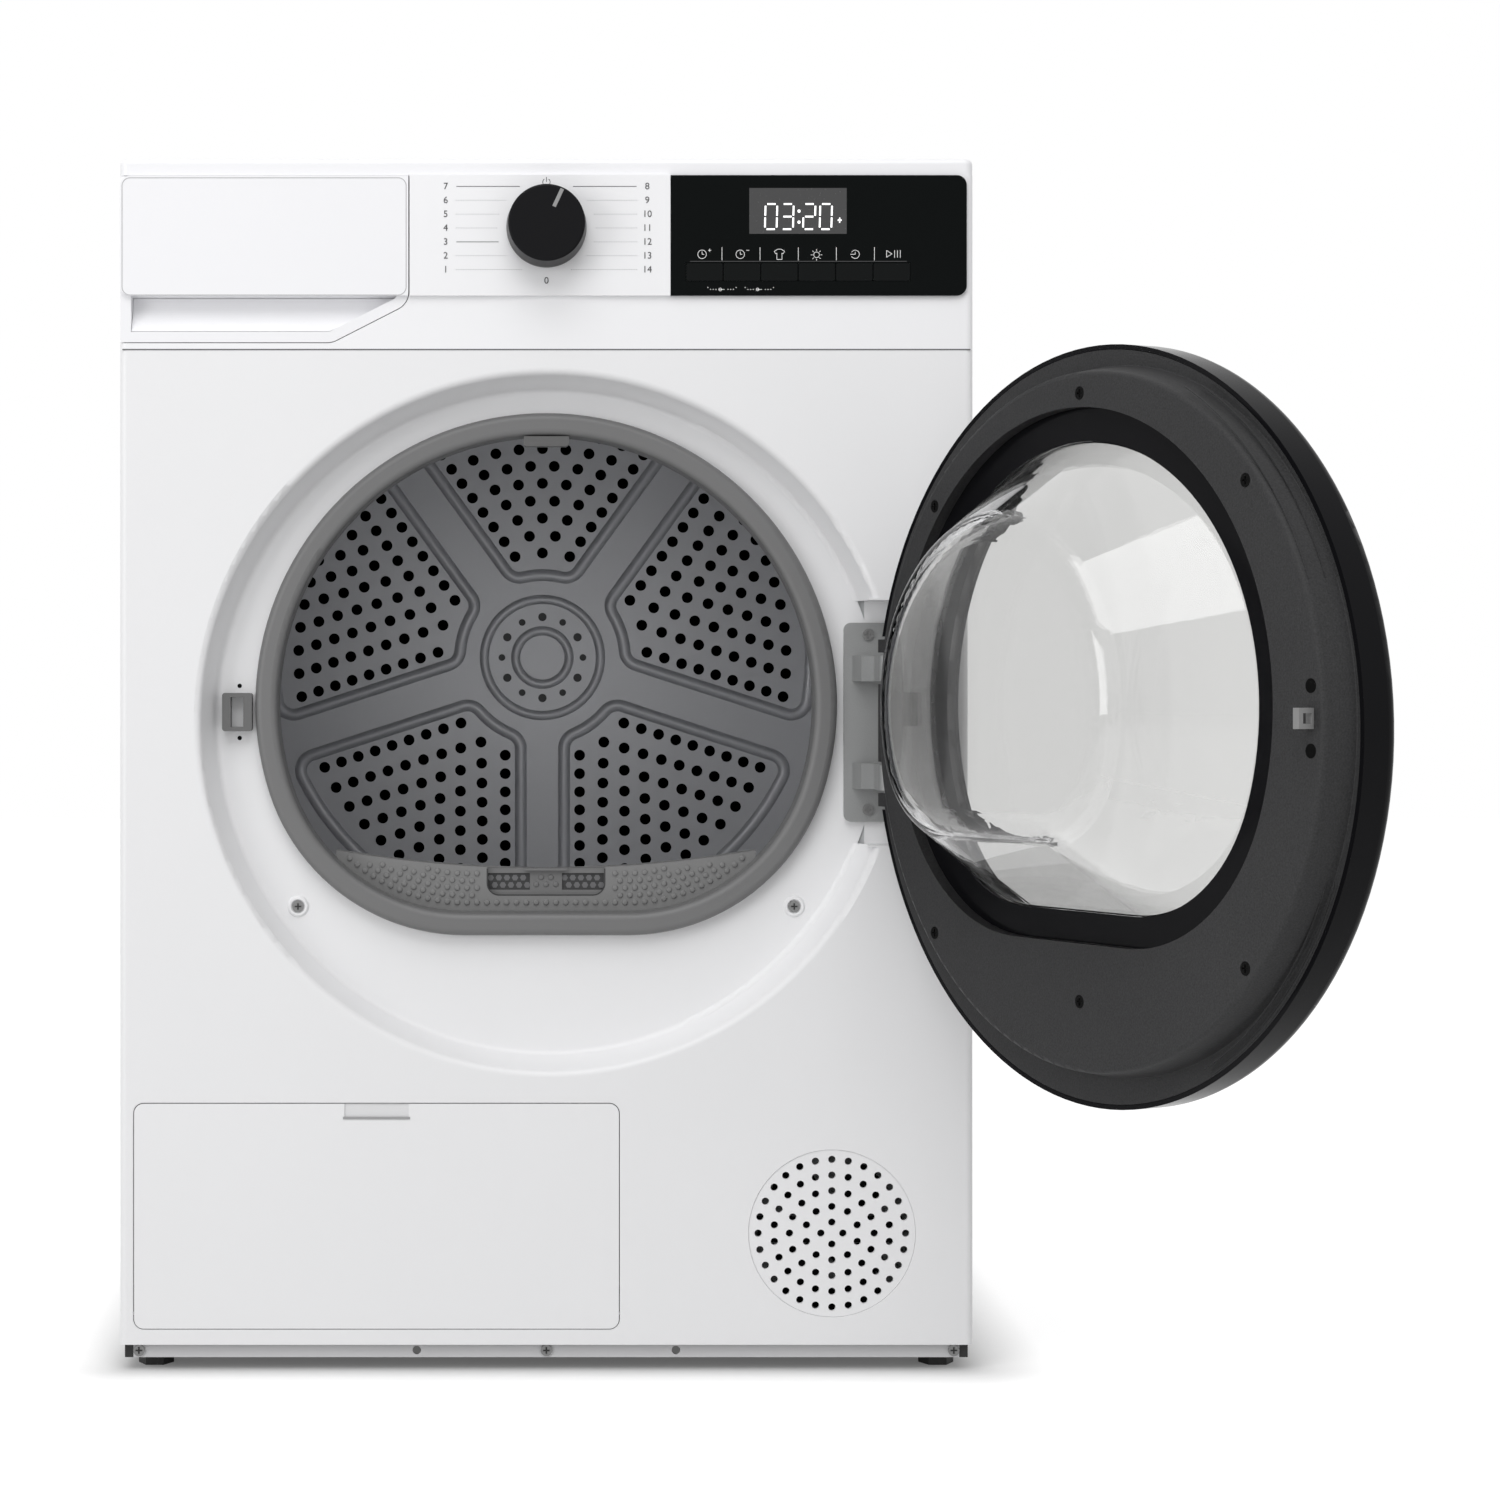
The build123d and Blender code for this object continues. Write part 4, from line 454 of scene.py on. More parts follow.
def arc(x, z, radius, start, end, count=16):
    """Points on an arc, with angles in degrees from the right."""
    turns = [math.radians(start + (end - start) * k / count) for k in range(count + 1)]
    return [(x + radius * math.cos(turn), z + radius * math.sin(turn)) for turn in turns]


def disc(x, z, radius, count=16):
    """Outline of a small disc."""
    return arc(x, z, radius, 0, 360, count)[:-1]


def rounded(x0, z0, x1, z1, radius):
    """Outline of a plate with round corners."""
    return (arc(x1 - radius, z1 - radius, radius, 0, 90, corner_steps)
            + arc(x0 + radius, z1 - radius, radius, 90, 180, corner_steps)
            + arc(x0 + radius, z0 + radius, radius, 180, 270, corner_steps)
            + arc(x1 - radius, z0 + radius, radius, 270, 360, corner_steps))


def edge_line(bm, x0, z0, x1, z1, radius, width, back, face):
    """Add a line of this width inside the edge of a plate with round corners."""
    inner = rounded(x0 + width, z0 + width, x1 - width, z1 - width, radius - width)
    band_between(bm, rounded(x0, z0, x1, z1, radius), inner, back, face)


def dome(bm, x, y, z, radius, height, count=12):
    """Add a low round bump that faces the viewer."""
    foot, shoulder = [[bm.verts.new((u, y - h, v)) for u, v in disc(x, z, r, count)]
                      for r, h in ((radius, 0.0), (0.8 * radius, 0.7 * height))]
    top = bm.verts.new((x, y - height, z))
    for k in range(count):
        after = (k + 1) % count
        bm.faces.new((foot[k], foot[after], shoulder[after], shoulder[k]))
        bm.faces.new((shoulder[k], shoulder[after], top))
    bm.faces.new(list(reversed(foot)))


def turned_ring(bm, x, z, profile, count=32):
    """Add a ring whose profile gives radius and depth pairs."""
    join_rings(bm, [[bm.verts.new((u, y, v)) for u, v in disc(x, z, r, count)] for r, y in profile])


print("round corners in", corner_steps, "steps")

# %% [markdown]
# ## From mesh to piece
# A drawn mesh becomes a piece when it has a finish and rides on a body. What belongs to the door is
# drawn on the shut door, where its places are easy to give, and then swung open.

# %% From mesh to piece
crease_angle = math.radians(40)


def swing_open(bm):
    """Turn what was drawn on the shut door to where the open door is."""
    bmesh.ops.rotate(bm, cent=hinge, matrix=Matrix.Rotation(door_swing, 3, "Z"), verts=bm.verts)


def piece(name, bm, material, body, smooth=False):
    """Turn a finished mesh into a piece that rides on a body."""
    bmesh.ops.recalc_face_normals(bm, faces=bm.faces)
    for face in bm.faces:
        face.smooth = smooth
    mesh = bpy.data.meshes.new(name)
    bm.to_mesh(mesh)
    bm.free()
    mesh.materials.append(material)
    made = bpy.data.objects.new(name, mesh)
    scene.collection.objects.link(made)
    if smooth:
        edge_rule = made.modifiers.new("edges", "EDGE_SPLIT")
        edge_rule.split_angle = crease_angle
    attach(made, body)
    print(name, len(mesh.vertices), "points")


print("edges stay sharp above", round(math.degrees(crease_angle)), "degrees")

# %% [markdown]
# ## Figures
# Numbers are text objects turned into mesh, so that they can be joined to their neighbours. The ink
# is grey on the fascia, and white and faintly lit on the black pane.

# %% Figures
ink_grey = finish("ink_grey", (0.06, 0.06, 0.063), 0.55, grain=0.05, grain_size=0.0005, shade=0.02)
ink_white = finish("ink_white", (0.80, 0.80, 0.80), 0.5, grain=0.03, grain_size=0.0005, shade=0.02,
                   emission_color=(1, 1, 1, 1), emission_strength=0.25)


def lettering(bm, text, x, z, height, face):
    """Add plain figures to a mesh, standing on the front."""
    data = bpy.data.curves.new("figures", "FONT")
    data.body = text
    data.size = height
    data.align_x = "CENTER"
    data.align_y = "CENTER"
    data.extrude = ink_height
    writer = bpy.data.objects.new("figures", data)
    scene.collection.objects.link(writer)
    bpy.context.view_layer.update()
    drawn = bpy.data.meshes.new_from_object(writer.evaluated_get(bpy.context.evaluated_depsgraph_get()))
    drawn.transform(Matrix.Translation((x, face, z)) @ Matrix.Rotation(math.radians(90), 4, "X"))
    bm.from_mesh(drawn)
    bpy.data.meshes.remove(drawn)
    bpy.data.objects.remove(writer)
    bpy.data.curves.remove(data)


print("inks", ink_grey.name, ink_white.name)

# %% [markdown]
# ## Programme scale
# Round the knob stand two columns of plain numbers, each joined to the knob by a thin leader. Some
# leaders are drawn solid and most are dotted. A nought and a small ring mark the foot and the top.

# %% Programme scale
row_pitch, row_drop = 0.0097, 0.0003
rows = 7
column_reach = 0.0705
number_height, number_room = 0.0066, 0.0075
knob_radius, knob_room, nearest_end = 0.0335, 0.0015, 0.010
leader_width = 0.00045
dot_step, dot_radius = 0.0016, 0.6 * leader_width
solid_rows = {(-1, 0), (-1, 4), (1, 0)}
ink_face = band - ink_height
marks = bmesh.new()
for side in (-1, 1):
    for row in range(rows):
        z = knob_z + (rows // 2 - row) * row_pitch - row_drop
        number = row + rows + 1 if side > 0 else rows - row
        lettering(marks, str(number), side * column_reach, z, number_height, ink_face)
        knob_edge = math.sqrt(max(0, knob_radius ** 2 - (z - knob_z) ** 2)) + knob_room
        start = side * (column_reach - number_room)
        end = side * max(knob_edge, nearest_end)
        if (side, row) in solid_rows:
            stroke(marks, [(start, z), (end, z)], leader_width, band, ink_face)
        else:
            dots = max(2, int(abs(end - start) / dot_step))
            for k in range(dots):
                x = start + (end - start) * k / (dots - 1)
                prism(marks, disc(x, z, dot_radius, 8), band, ink_face)
nought_drop = 0.0372
top_ring_rise, top_ring_radius = 0.0318, 0.0026
top_bar_foot, top_bar_end = 0.0320, 0.0354
lettering(marks, "0", 0, knob_z - nought_drop, number_height, ink_face)
stroke(marks, arc(0, knob_z + top_ring_rise, top_ring_radius, 125, 415, 18), leader_width, band, ink_face)
stroke(marks, [(0, knob_z + top_bar_foot), (0, knob_z + top_bar_end)], leader_width, band, ink_face)
piece("programme_scale", marks, ink_grey, "cabinet")

# %% [markdown]
# ## Knob trim
# The knob has a pale bar that points at the chosen programme. It fills the groove that the top face
# of the solid already has, and stands a hair above it.

# %% Knob trim
pointer_grey = finish("pointer_grey", (0.28, 0.28, 0.28), 0.4, grain=0.05, grain_size=0.0005)
pointer_turn = math.radians(65)
pointer_root, pointer_tip, pointer_width = 0.0120, 0.0255, 0.0026
groove_depth, pointer_height = 0.0006, 0.00015
pointer = bmesh.new()
pointer_line = [(reach * math.cos(pointer_turn), knob_z + reach * math.sin(pointer_turn))
                for reach in (pointer_root, pointer_tip)]
stroke(pointer, pointer_line, pointer_width, knob_low.y + groove_depth, knob_low.y - pointer_height)
piece("knob_pointer", pointer, pointer_grey, "knob")

# %% [markdown]
# ## Display figures
# On the black pane a grey liquid crystal block shows a clock of four figures, drawn from seven bars
# each, as the real ones are. Places on the pane were measured in pixels of the picture, and one
# function turns them into metres on the front. A fine line divides the pane above the keys.

# %% Display block
lcd_grey = finish("lcd_grey", (0.042, 0.042, 0.043), 0.25, grain=0.02, grain_size=0.002)
pixels_in_metre = 1.424e3
middle_px, floor_py = 546, 1370
lcd_left_px, lcd_right_px, lcd_top_py, lcd_foot_py = 748, 845, 190, 235.6
divider_left_px, divider_right_px, divider_py = 689, 905, 263
divider_width = 0.0005
mark_face = pane_face - ink_height


def on_front(px, py):
    """Place on the cabinet front for a measure taken in the picture's frame."""
    return (px - middle_px) / pixels_in_metre, (floor_py - py) / pixels_in_metre


block = bmesh.new()
x0, z0 = on_front(lcd_left_px, lcd_foot_py)
x1, z1 = on_front(lcd_right_px, lcd_top_py)
prism(block, [(x0, z0), (x1, z0), (x1, z1), (x0, z1)], pane_face, mark_face)
divider = [on_front(px, divider_py) for px in (divider_left_px, divider_right_px)]
stroke(block, divider, divider_width, pane_face, mark_face)
piece("lcd_block", block, lcd_grey, "cabinet")

# %% Display figures
glow_white = finish("glow_white", (0.8, 0.8, 0.8), 0.5, grain=0.02, grain_size=0.001, shade=0.01,
                    emission_color=(1, 1, 1, 1), emission_strength=0.9)
bars = {"0": "abcdef", "2": "abdeg", "3": "abcdg"}
figure_px, figure_foot_py = (763.5, 779.8, 801.5, 818), 231
figure_width, figure_height, bar_width, figure_lean = 0.0082, 0.0176, 0.0012, 0.03
colon_px, colon_py, colon_radius = 797.5, (213, 224), 0.0011
cross_px, cross_py = 838, 222
cross_reach, cross_rise, cross_line = 0.0014, 0.0018, 0.0009
glow_face = pane_face - 2 * ink_height


def figure(bm, code, x, z):
    """Add a figure of seven bars with its lower left corner here."""
    w, h, b = figure_width, figure_height, bar_width
    upper, lower = h / 2 + b / 2, h / 2 - b / 2
    lines = {"a": ((b, h), (w - b, h)), "b": ((w, h - b), (w, upper)), "c": ((w, lower), (w, b)),
             "d": ((b, 0), (w - b, 0)), "e": ((0, lower), (0, b)), "f": ((0, h - b), (0, upper)),
             "g": ((b, h / 2), (w - b, h / 2))}
    for bar in bars[code]:
        points = [(x + u + figure_lean * v, z + v) for u, v in lines[bar]]
        stroke(bm, points, bar_width, mark_face, glow_face)


figures = bmesh.new()
for px, code in zip(figure_px, "0320"):
    figure(figures, code, *on_front(px, figure_foot_py))
for py in colon_py:
    prism(figures, disc(*on_front(colon_px, py), colon_radius, 10), mark_face, glow_face)
x, z = on_front(cross_px, cross_py)
stroke(figures, [(x - cross_reach, z), (x + cross_reach, z)], cross_line, mark_face, glow_face)
stroke(figures, [(x, z - cross_rise), (x, z + cross_rise)], cross_line, mark_face, glow_face)
piece("clock_figures", figures, glow_white, "cabinet")

# %% [markdown]
# ## Display symbols
# A row of small symbols stands over the keys: more time, less time, garment, heat, delay and start.
# Each is a few lines round its own middle. Short uprights part them. Below the first three keys lie
# two rows of dots, each with a small key in its middle.

# %% Display symbols
symbol_places = {"more": (701, 256), "less": (739, 256), "garment": (778, 256), "heat": (815, 256.5),
                 "delay": (853.5, 256), "start": (889, 255.6)}
symbol_line = 0.00030
symbols = bmesh.new()


def draw(points, width=symbol_line):
    """Add one line on the pane."""
    stroke(symbols, points, width, pane_face, mark_face)


def symbol(name, *lines):
    """Draw the lines of a symbol, given in metres from its middle."""
    x, z = on_front(*symbol_places[name])
    for line in lines:
        draw([(x + u, z + v) for u, v in line])


clock = (arc(0, 0, 0.0030, 0, 360, 18), [(0, 0.0019), (0, 0), (0.0014, 0)])
plus = ([(0.0042, 0.0028), (0.0064, 0.0028)], [(0.0053, 0.0017), (0.0053, 0.0039)])
minus = [(0.0042, 0.0028), (0.0062, 0.0028)]
shirt = [(-0.0012, 0.0036), (-0.0036, 0.0020), (-0.0026, 0.0004), (-0.0018, 0.0008), (-0.0018, -0.0036),
         (0.0018, -0.0036), (0.0018, 0.0008), (0.0026, 0.0004), (0.0036, 0.0020), (0.0012, 0.0036)]
sun = arc(0, 0, 0.0020, 0, 360, 16)
ray_foot, ray_end = 0.0028, 0.0040
ray_turns = [math.radians(45 * k) for k in range(8)]
rays = [[(reach * math.cos(turn), reach * math.sin(turn)) for reach in (ray_foot, ray_end)]
        for turn in ray_turns]
open_clock = (arc(0, 0, 0.0029, -150, 150, 16), [(-0.0034, 0), (0, 0), (0, 0.0017)])
arrow = [(-0.0030, 0.0024), (-0.0030, -0.0024), (0.0008, 0), (-0.0030, 0.0024)]
pause = [[(u, 0.0026), (u, -0.0026)] for u in (0.0026, 0.0046, 0.0066)]
symbol("more", *clock, *plus)
symbol("less", *clock, minus)
symbol("garment", shirt + shirt[:1])
symbol("heat", sun, *rays)
symbol("delay", *open_clock)
symbol("start", arrow, *pause)

part_px, part_top_py, part_foot_py = (720.8, 758.7, 796.8, 834.7, 872.6), 249, 262
part_line = 0.00028
for px in part_px:
    draw([on_front(px, part_foot_py), on_front(px, part_top_py)], part_line)
hold_px, hold_py = (720.8, 758.0), 291
hold_dot, hold_start, hold_step, hold_rise = 0.00032, 0.0042, 0.0019, 0.0014
shaft_half, bow_aside, bow_radius = 0.0018, 0.0012, 0.0010
for px in hold_px:
    x, z = on_front(px, hold_py)
    for k in range(4):
        dot_z = z + (hold_rise if k == 3 else 0)
        for side in (-1, 1):
            dot_x = x + side * (hold_start + hold_step * k)
            prism(symbols, disc(dot_x, dot_z, hold_dot, 8), pane_face, mark_face)
    draw([(x - shaft_half, z), (x + shaft_half, z)])
    draw(arc(x - bow_aside, z, bow_radius, 0, 360, 10))
piece("key_symbols", symbols, ink_white, "cabinet")

# %% [markdown]
# ## Dimples of the air duct
# The grey duct under the mouth is covered with rows of small raised dots that let the air past the
# laundry. Each row keeps its distance from the mouth ring: straight over the flat foot, then round
# the wide corner. Walking along that line in equal steps, with every second row half a step later,
# gives the staggered pattern of the mould.

# %% Duct dimples
mouth_radius, mouth_drop, mouth_corner = 0.1898, 0.1477, 0.1290
duct_bow = 0.013
duct_half = (duct_high.x - duct_low.x) / 2
duct_face = duct_low.y
filter_half = (filter_high.x - filter_low.x) / 2
filter_top = filter_high.z


def along_mouth(inset, run):
    """Point inside the mouth's outline, this far along it from the middle of its foot."""
    corner = mouth_corner - inset
    drop = mouth_drop - inset
    rise = corner - drop
    straight = math.sqrt((mouth_radius - mouth_corner) ** 2 - rise ** 2)
    if abs(run) <= straight:
        return run, opening_z - drop
    turn = (abs(run) - straight) / corner
    return math.copysign(straight + corner * math.sin(turn), run), opening_z + rise - corner * math.cos(turn)


dimple_rows, row_half_count = 9, 30
dimple_pitch, row_step, first_row = 0.00705, 0.0052, 0.0058
dimple_radius, dimple_height = 0.0021, 0.0015
top_room, side_room, filter_drop = 0.0032, 0.003, 0.022
dimples = bmesh.new()
for row in range(dimple_rows):
    for k in range(-row_half_count, row_half_count + 1):
        x, z = along_mouth(first_row + row_step * row, (k + row % 2 / 2) * dimple_pitch)
        edge = filter_top + duct_bow * (x / duct_half) ** 2
        if z > edge - top_room or abs(x) > duct_half - side_room:
            continue
        if abs(x) < filter_half + side_room and z > filter_top - filter_drop:
            continue
        dome(dimples, x, duct_face, z, dimple_radius, dimple_height)
piece("duct_dimples", dimples, duct_grey, "cabinet", smooth=True)

# %% [markdown]
# ## Lint filter
# The filter shows in a pocket of the duct: two windows with a honeycomb mesh, and between them a
# bridge with a few dots and a lip that a finger can lift. The mesh is a dark plate in each window
# with paler six-sided cells on it.

# %% Lint filter
filter_face = filter_low.y
mesh_dark = finish("mesh_dark", (0.030, 0.030, 0.031), 0.6, grain=0.2, grain_size=0.0006)
mesh_light = finish("mesh_light", (0.13, 0.13, 0.135), 0.5, grain=0.2, grain_size=0.0005)
window_reach, window_half, window_rise, window_drop = 0.0265, 0.015, 0.006, 0.0095
window_z = filter_top - window_drop
plate_back, plate_face, cell_face = filter_face + 0.0022, filter_face + 0.0014, filter_face + 0.0011
cell_pitch, cell_radius, cell_squeeze = 0.0058, 0.0023, 0.9
back_plates = bmesh.new()
cells = bmesh.new()
for side in (-1, 1):
    middle = side * window_reach
    x0, x1 = middle - window_half, middle + window_half
    z0, z1 = window_z - window_rise, window_z + window_rise
    prism(back_plates, [(x0, z0), (x1, z0), (x1, z1), (x0, z1)], plate_back, plate_face)
    for row in range(2):
        for k in range(5):
            x = middle + (k - 2 + row / 2 - 0.25) * cell_pitch
            z = window_z + (0.5 - row) * cell_pitch * cell_squeeze
            prism(cells, disc(x, z, cell_radius, 6), plate_face, cell_face)
piece("filter_mesh", back_plates, mesh_dark, "filter")
piece("filter_cells", cells, mesh_light, "filter")

bridge_dots = ((-0.0035, 0.0065), (0.0035, 0.0065), (-0.0070, 0.0115), (0.0, 0.0115), (0.0070, 0.0115))
bridge_dot_height = 0.0010
lip_half_top, lip_half_foot, lip_thick, lip_proud = 0.0155, 0.0150, 0.0016, 0.0034
bridge = bmesh.new()
for x, drop in bridge_dots:
    dome(bridge, x, filter_face, filter_top - drop, dimple_radius, bridge_dot_height)
lip = [(-lip_half_top, filter_top), (-lip_half_foot, filter_top - lip_thick),
       (lip_half_foot, filter_top - lip_thick), (lip_half_top, filter_top)]
prism(bridge, lip, filter_face, filter_face - lip_proud)
piece("filter_bridge", bridge, filter_grey, "filter")

# %% [markdown]
# ## Pocket of the filter
# The pocket's lower corners are rounded, so two small fillets fill the corners that the straight cut
# of the solid leaves. A fine dark gap runs down one side of the pocket, along its foot and up again.

# %% Pocket of the filter
pocket_in, pocket_drop, pocket_round = 0.003, 0.019, 0.0085
pocket_half, pocket_foot = filter_half - pocket_in, filter_top - pocket_drop
bend_z = pocket_foot + pocket_round
fillet_sink = 0.0004
fillets = bmesh.new()
for side in (-1, 1):
    x0 = side * pocket_half
    bend = arc(x0 - side * pocket_round, bend_z, pocket_round, 270, 270 + side * 90, 12)
    prism(fillets, [(x0, pocket_foot)] + bend, filter_face - fillet_sink, duct_face)
piece("pocket_fillets", fillets, duct_grey, "cabinet")

gap_width, gap_sink, gap_proud = 0.0009, 0.0002, 0.0001
gap_line = bmesh.new()
left_bend = arc(pocket_round - pocket_half, bend_z, pocket_round, 180, 270, 12)
right_bend = arc(pocket_half - pocket_round, bend_z, pocket_round, 270, 360, 12)
gap_path = [(-pocket_half, filter_top)] + left_bend + right_bend + [(pocket_half, filter_top)]
stroke(gap_line, gap_path, gap_width, duct_face + gap_sink, duct_face - gap_proud)
piece("pocket_gap", gap_line, mesh_dark, "cabinet")

# %% [markdown]
# ## Joint under the fascia
# Where the fascia meets the painted panel a fine dark joint runs across the front.

# %% Joint under the fascia
joint_grey = finish("joint_grey", (0.13, 0.13, 0.135), 0.6, grain_size=0.0006)
panel_low, panel_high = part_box("front_panel")
joint_half, joint_in, joint_deep = 0.00045, 0.002, 0.0002
x0, x1 = panel_low.x + joint_in, panel_high.x - joint_in
z0, z1 = panel_high.z - joint_half, panel_high.z + joint_half
seam = bmesh.new()
prism(seam, [(x0, z0), (x1, z0), (x1, z1), (x0, z1)], front + joint_deep, front - joint_deep)
piece("fascia_joint", seam, joint_grey, "cabinet")

# %% [markdown]
# ## Grip and seal of the flap
# The flap has a shallow finger grip in its top edge, with a grey lip along the grip's foot. The grip's
# floor is a darker white, painted shade for the hollow. A narrow seal on the cabinet fills the gap
# round the flap, so that the joint stays a thin line.

# %% Grip and seal of the flap
# darker than the flap: painted shade on the floor of the finger grip
grip_shade_white = finish("grip_shade_white", (0.74, 0.74, 0.75), 0.5, grain_size=0.0006, shade=0.02)
lip_grey = finish("lip_grey", (0.33, 0.33, 0.335), 0.5, grain_size=0.0006, shade=0.02)
flap_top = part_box("service_flap")[1].z
grip_x, grip_half, grip_drop, grip_room = -0.119, 0.0225, 0.010, 0.0005
grip_back, grip_face = 0.0016, 0.0012
x0, x1 = grip_x - grip_half, grip_x + grip_half
z0, z1 = flap_top - grip_drop, flap_top - grip_room
grip = bmesh.new()
prism(grip, [(x0, z0), (x1, z0), (x1, z1), (x0, z1)], front + grip_back, front + grip_face)
piece("flap_grip", grip, grip_shade_white, "flap")

lip_over, lip_width, lip_sink, lip_rise = 0.001, 0.0017, 0.0004, 0.0005
lip_bar = bmesh.new()
stroke(lip_bar, [(x0 - lip_over, z0), (x1 + lip_over, z0)], lip_width, front + lip_sink, front - lip_rise)
piece("flap_lip", lip_bar, lip_grey, "flap")

x0, x1, z0, z1 = -0.290, 0.052, 0.029, 0.189
seal_round, seal_width, seal_back, seal_face = 0.008, 0.0006, 0.0010, 0.0002
seal = bmesh.new()
edge_line(seal, x0, z0, x1, z1, seal_round, seal_width, front + seal_back, front + seal_face)
piece("flap_seal", seal, flap_white, "cabinet")

# %% [markdown]
# ## Outline of the drawer
# A fine grey line runs just inside the edge of the drawer's band, with the same round corners.

# %% Outline of the drawer
drawer_line = finish("drawer_line", (0.52, 0.52, 0.53), 0.5, grain_size=0.0006, shade=0.02)
drawer_low, drawer_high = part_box("water_drawer_front")
drawer_face = drawer_low.y
line_in, line_width, line_round, line_foot = 0.0012, 0.0007, 0.0060, 0.7535
x0, x1 = drawer_low.x + line_in, drawer_high.x - line_in
z0, z1 = line_foot, drawer_high.z - line_in
outline = bmesh.new()
edge_line(outline, x0, z0, x1, z1, line_round, line_width, drawer_face + ink_height, drawer_face - ink_height)
piece("drawer_outline", outline, drawer_line, "drawer")

# %% [markdown]
# ## Scoop of the drawer
# The finger pocket under the drawer's band is not a box but a soft scoop: it leaves the front at its
# lower edge and curves up behind the band. Rows of points on a quarter wave give that curve, and its
# right end follows the slant of the drawer's foot.

# %% Scoop of the drawer
scoop_z0, scoop_z1 = 0.7288, 0.7532
scoop_start, scoop_depth, scoop_back = 0.0004, 0.0120, 0.0205
scoop_left, foot_x, foot_z, foot_slant, foot_room = -0.2907, -0.1540, 0.7276, 54 / 27.5, 0.0005
scoop_rows = 14
scoop = bmesh.new()
rows_of_scoop = []
rear = front + scoop_back
for k in range(scoop_rows + 1):
    share = k / scoop_rows
    z = scoop_z0 + (scoop_z1 - scoop_z0) * share
    face = front + scoop_start + scoop_depth * math.sin(share * math.pi / 2)
    right = foot_x + (z - foot_z) * foot_slant - foot_room
    corners = ((scoop_left, face), (right, face), (right, rear), (scoop_left, rear))
    rows_of_scoop.append([scoop.verts.new((x, y, z)) for x, y in corners])
for low, high in zip(rows_of_scoop, rows_of_scoop[1:]):
    for k in range(4):
        after = (k + 1) % 4
        scoop.faces.new((low[k], low[after], high[after], high[k]))
scoop.faces.new(rows_of_scoop[-1])
scoop.faces.new(list(reversed(rows_of_scoop[0])))
piece("drawer_scoop", scoop, bright_white, "drawer", smooth=True)

# %% [markdown]
# ## Plinth ends
# The plinth stops short of the cabinet's sides. Two small black buffers fill what is left.

# %% Plinth ends
plinth_low, plinth_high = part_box("plinth")
buffer_in = 0.003
buffer_spans = ((panel_low.x + buffer_in, plinth_low.x), (plinth_high.x, panel_high.x - buffer_in))
buffers = bmesh.new()
for x0, x1 in buffer_spans:
    prism(buffers, [(x0, plinth_low.z), (x1, plinth_low.z), (x1, plinth_high.z), (x0, plinth_high.z)],
          plinth_high.y, plinth_low.y)
piece("plinth_buffers", buffers, foot_rubber, "cabinet")

# %% [markdown]
# ## Painted shade behind the drum
# Warm air enters through ports behind the drum's rear wall. A black disc on the rear panel is painted
# shade: it keeps the holes of the drum dark, as they are on the machine.

# %% Painted shade behind the drum
wall_low, wall_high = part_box("drum_rear_wall")
drum_z = (wall_low.z + wall_high.z) / 2
panel_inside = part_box("rear_panel")[0].y
# black disc on the rear panel: painted shade seen through the drum's holes
shade_disc_radius, shade_disc_bore = 0.240, 0.060
shade_disc_gap, shade_disc_reach = 0.0001, 0.0005
shade_disc = bmesh.new()
band_between(shade_disc, disc(0, drum_z, shade_disc_radius, 64), disc(0, drum_z, shade_disc_bore, 64),
             panel_inside - shade_disc_gap, panel_inside - shade_disc_reach)
piece("painted_shade_disc", shade_disc, bulkhead_black_and_painted_shade, "cabinet")

# %% [markdown]
# ## Screw seats
# Two screws hold the mouth ring to the dished panel. Each sits in a low round boss, a ring turned
# from a short profile with a soft top.

# %% Screw seats
seat_x, seat_z = 0.176, 0.324
seat_steps = ((0.0046, 0), (0.0046, 0.0010), (0.0052, 0.0016),
              (0.0064, 0.0016), (0.0076, 0.0004), (0.0078, 0))
seat_profile = [(radius, recess_floor - rise) for radius, rise in seat_steps]
seats = bmesh.new()
for side in (-1, 1):
    turned_ring(seats, side * seat_x, seat_z, seat_profile)
piece("screw_seats", seats, cabinet_paint, "cabinet", smooth=True)

# %% [markdown]
# ## Screw crosses
# The two ring screws and the three of the plinth show the cross of their drive, dark with the shade
# in its recess, which is painted as a black cross. Each cross lies on its screw's head, so the depth
# of the head is measured from the solid first.

# %% Screw crosses
# black cross: painted shade in the recess of each screw's drive
cross_shade_black = finish("cross_shade_black", (0.01, 0.01, 0.01), 0.6, grain_size=0.0006)


def head_face(x, z, reach=0.006):
    """Depth of the screw head at this place."""
    node = frame["nodes"]["cabinet_screws"]
    points = [node.matrix_world @ vertex.co for vertex in node.data.vertices]
    return min(point.y for point in points if math.hypot(point.x - x, point.z - z) < reach)


cross_half, cross_wide, cross_sink = 0.0022, 0.0010, 0.0002
plinth_screw_x = 0.286
plinth_screw_z = (plinth_low.z + plinth_high.z) / 2
ring_screws = [(-seat_x, seat_z), (seat_x, seat_z)]
plinth_screws = [(x, plinth_screw_z) for x in (-plinth_screw_x, 0, plinth_screw_x)]
crosses = bmesh.new()
for x, z in ring_screws + plinth_screws:
    face = head_face(x, z)
    back = face + cross_sink
    stroke(crosses, [(x - cross_half, z), (x + cross_half, z)], cross_wide, back, face - ink_height)
    stroke(crosses, [(x, z - cross_half), (x, z + cross_half)], cross_wide, back, face - 1.5 * ink_height)
piece("screw_crosses", crosses, cross_shade_black, "cabinet")

# %% [markdown]
# ## Clip holes of the catch
# Above and below the catch are the small holes of its clips. Only the shade inside them shows, so
# each is a thin black disc of painted shade.

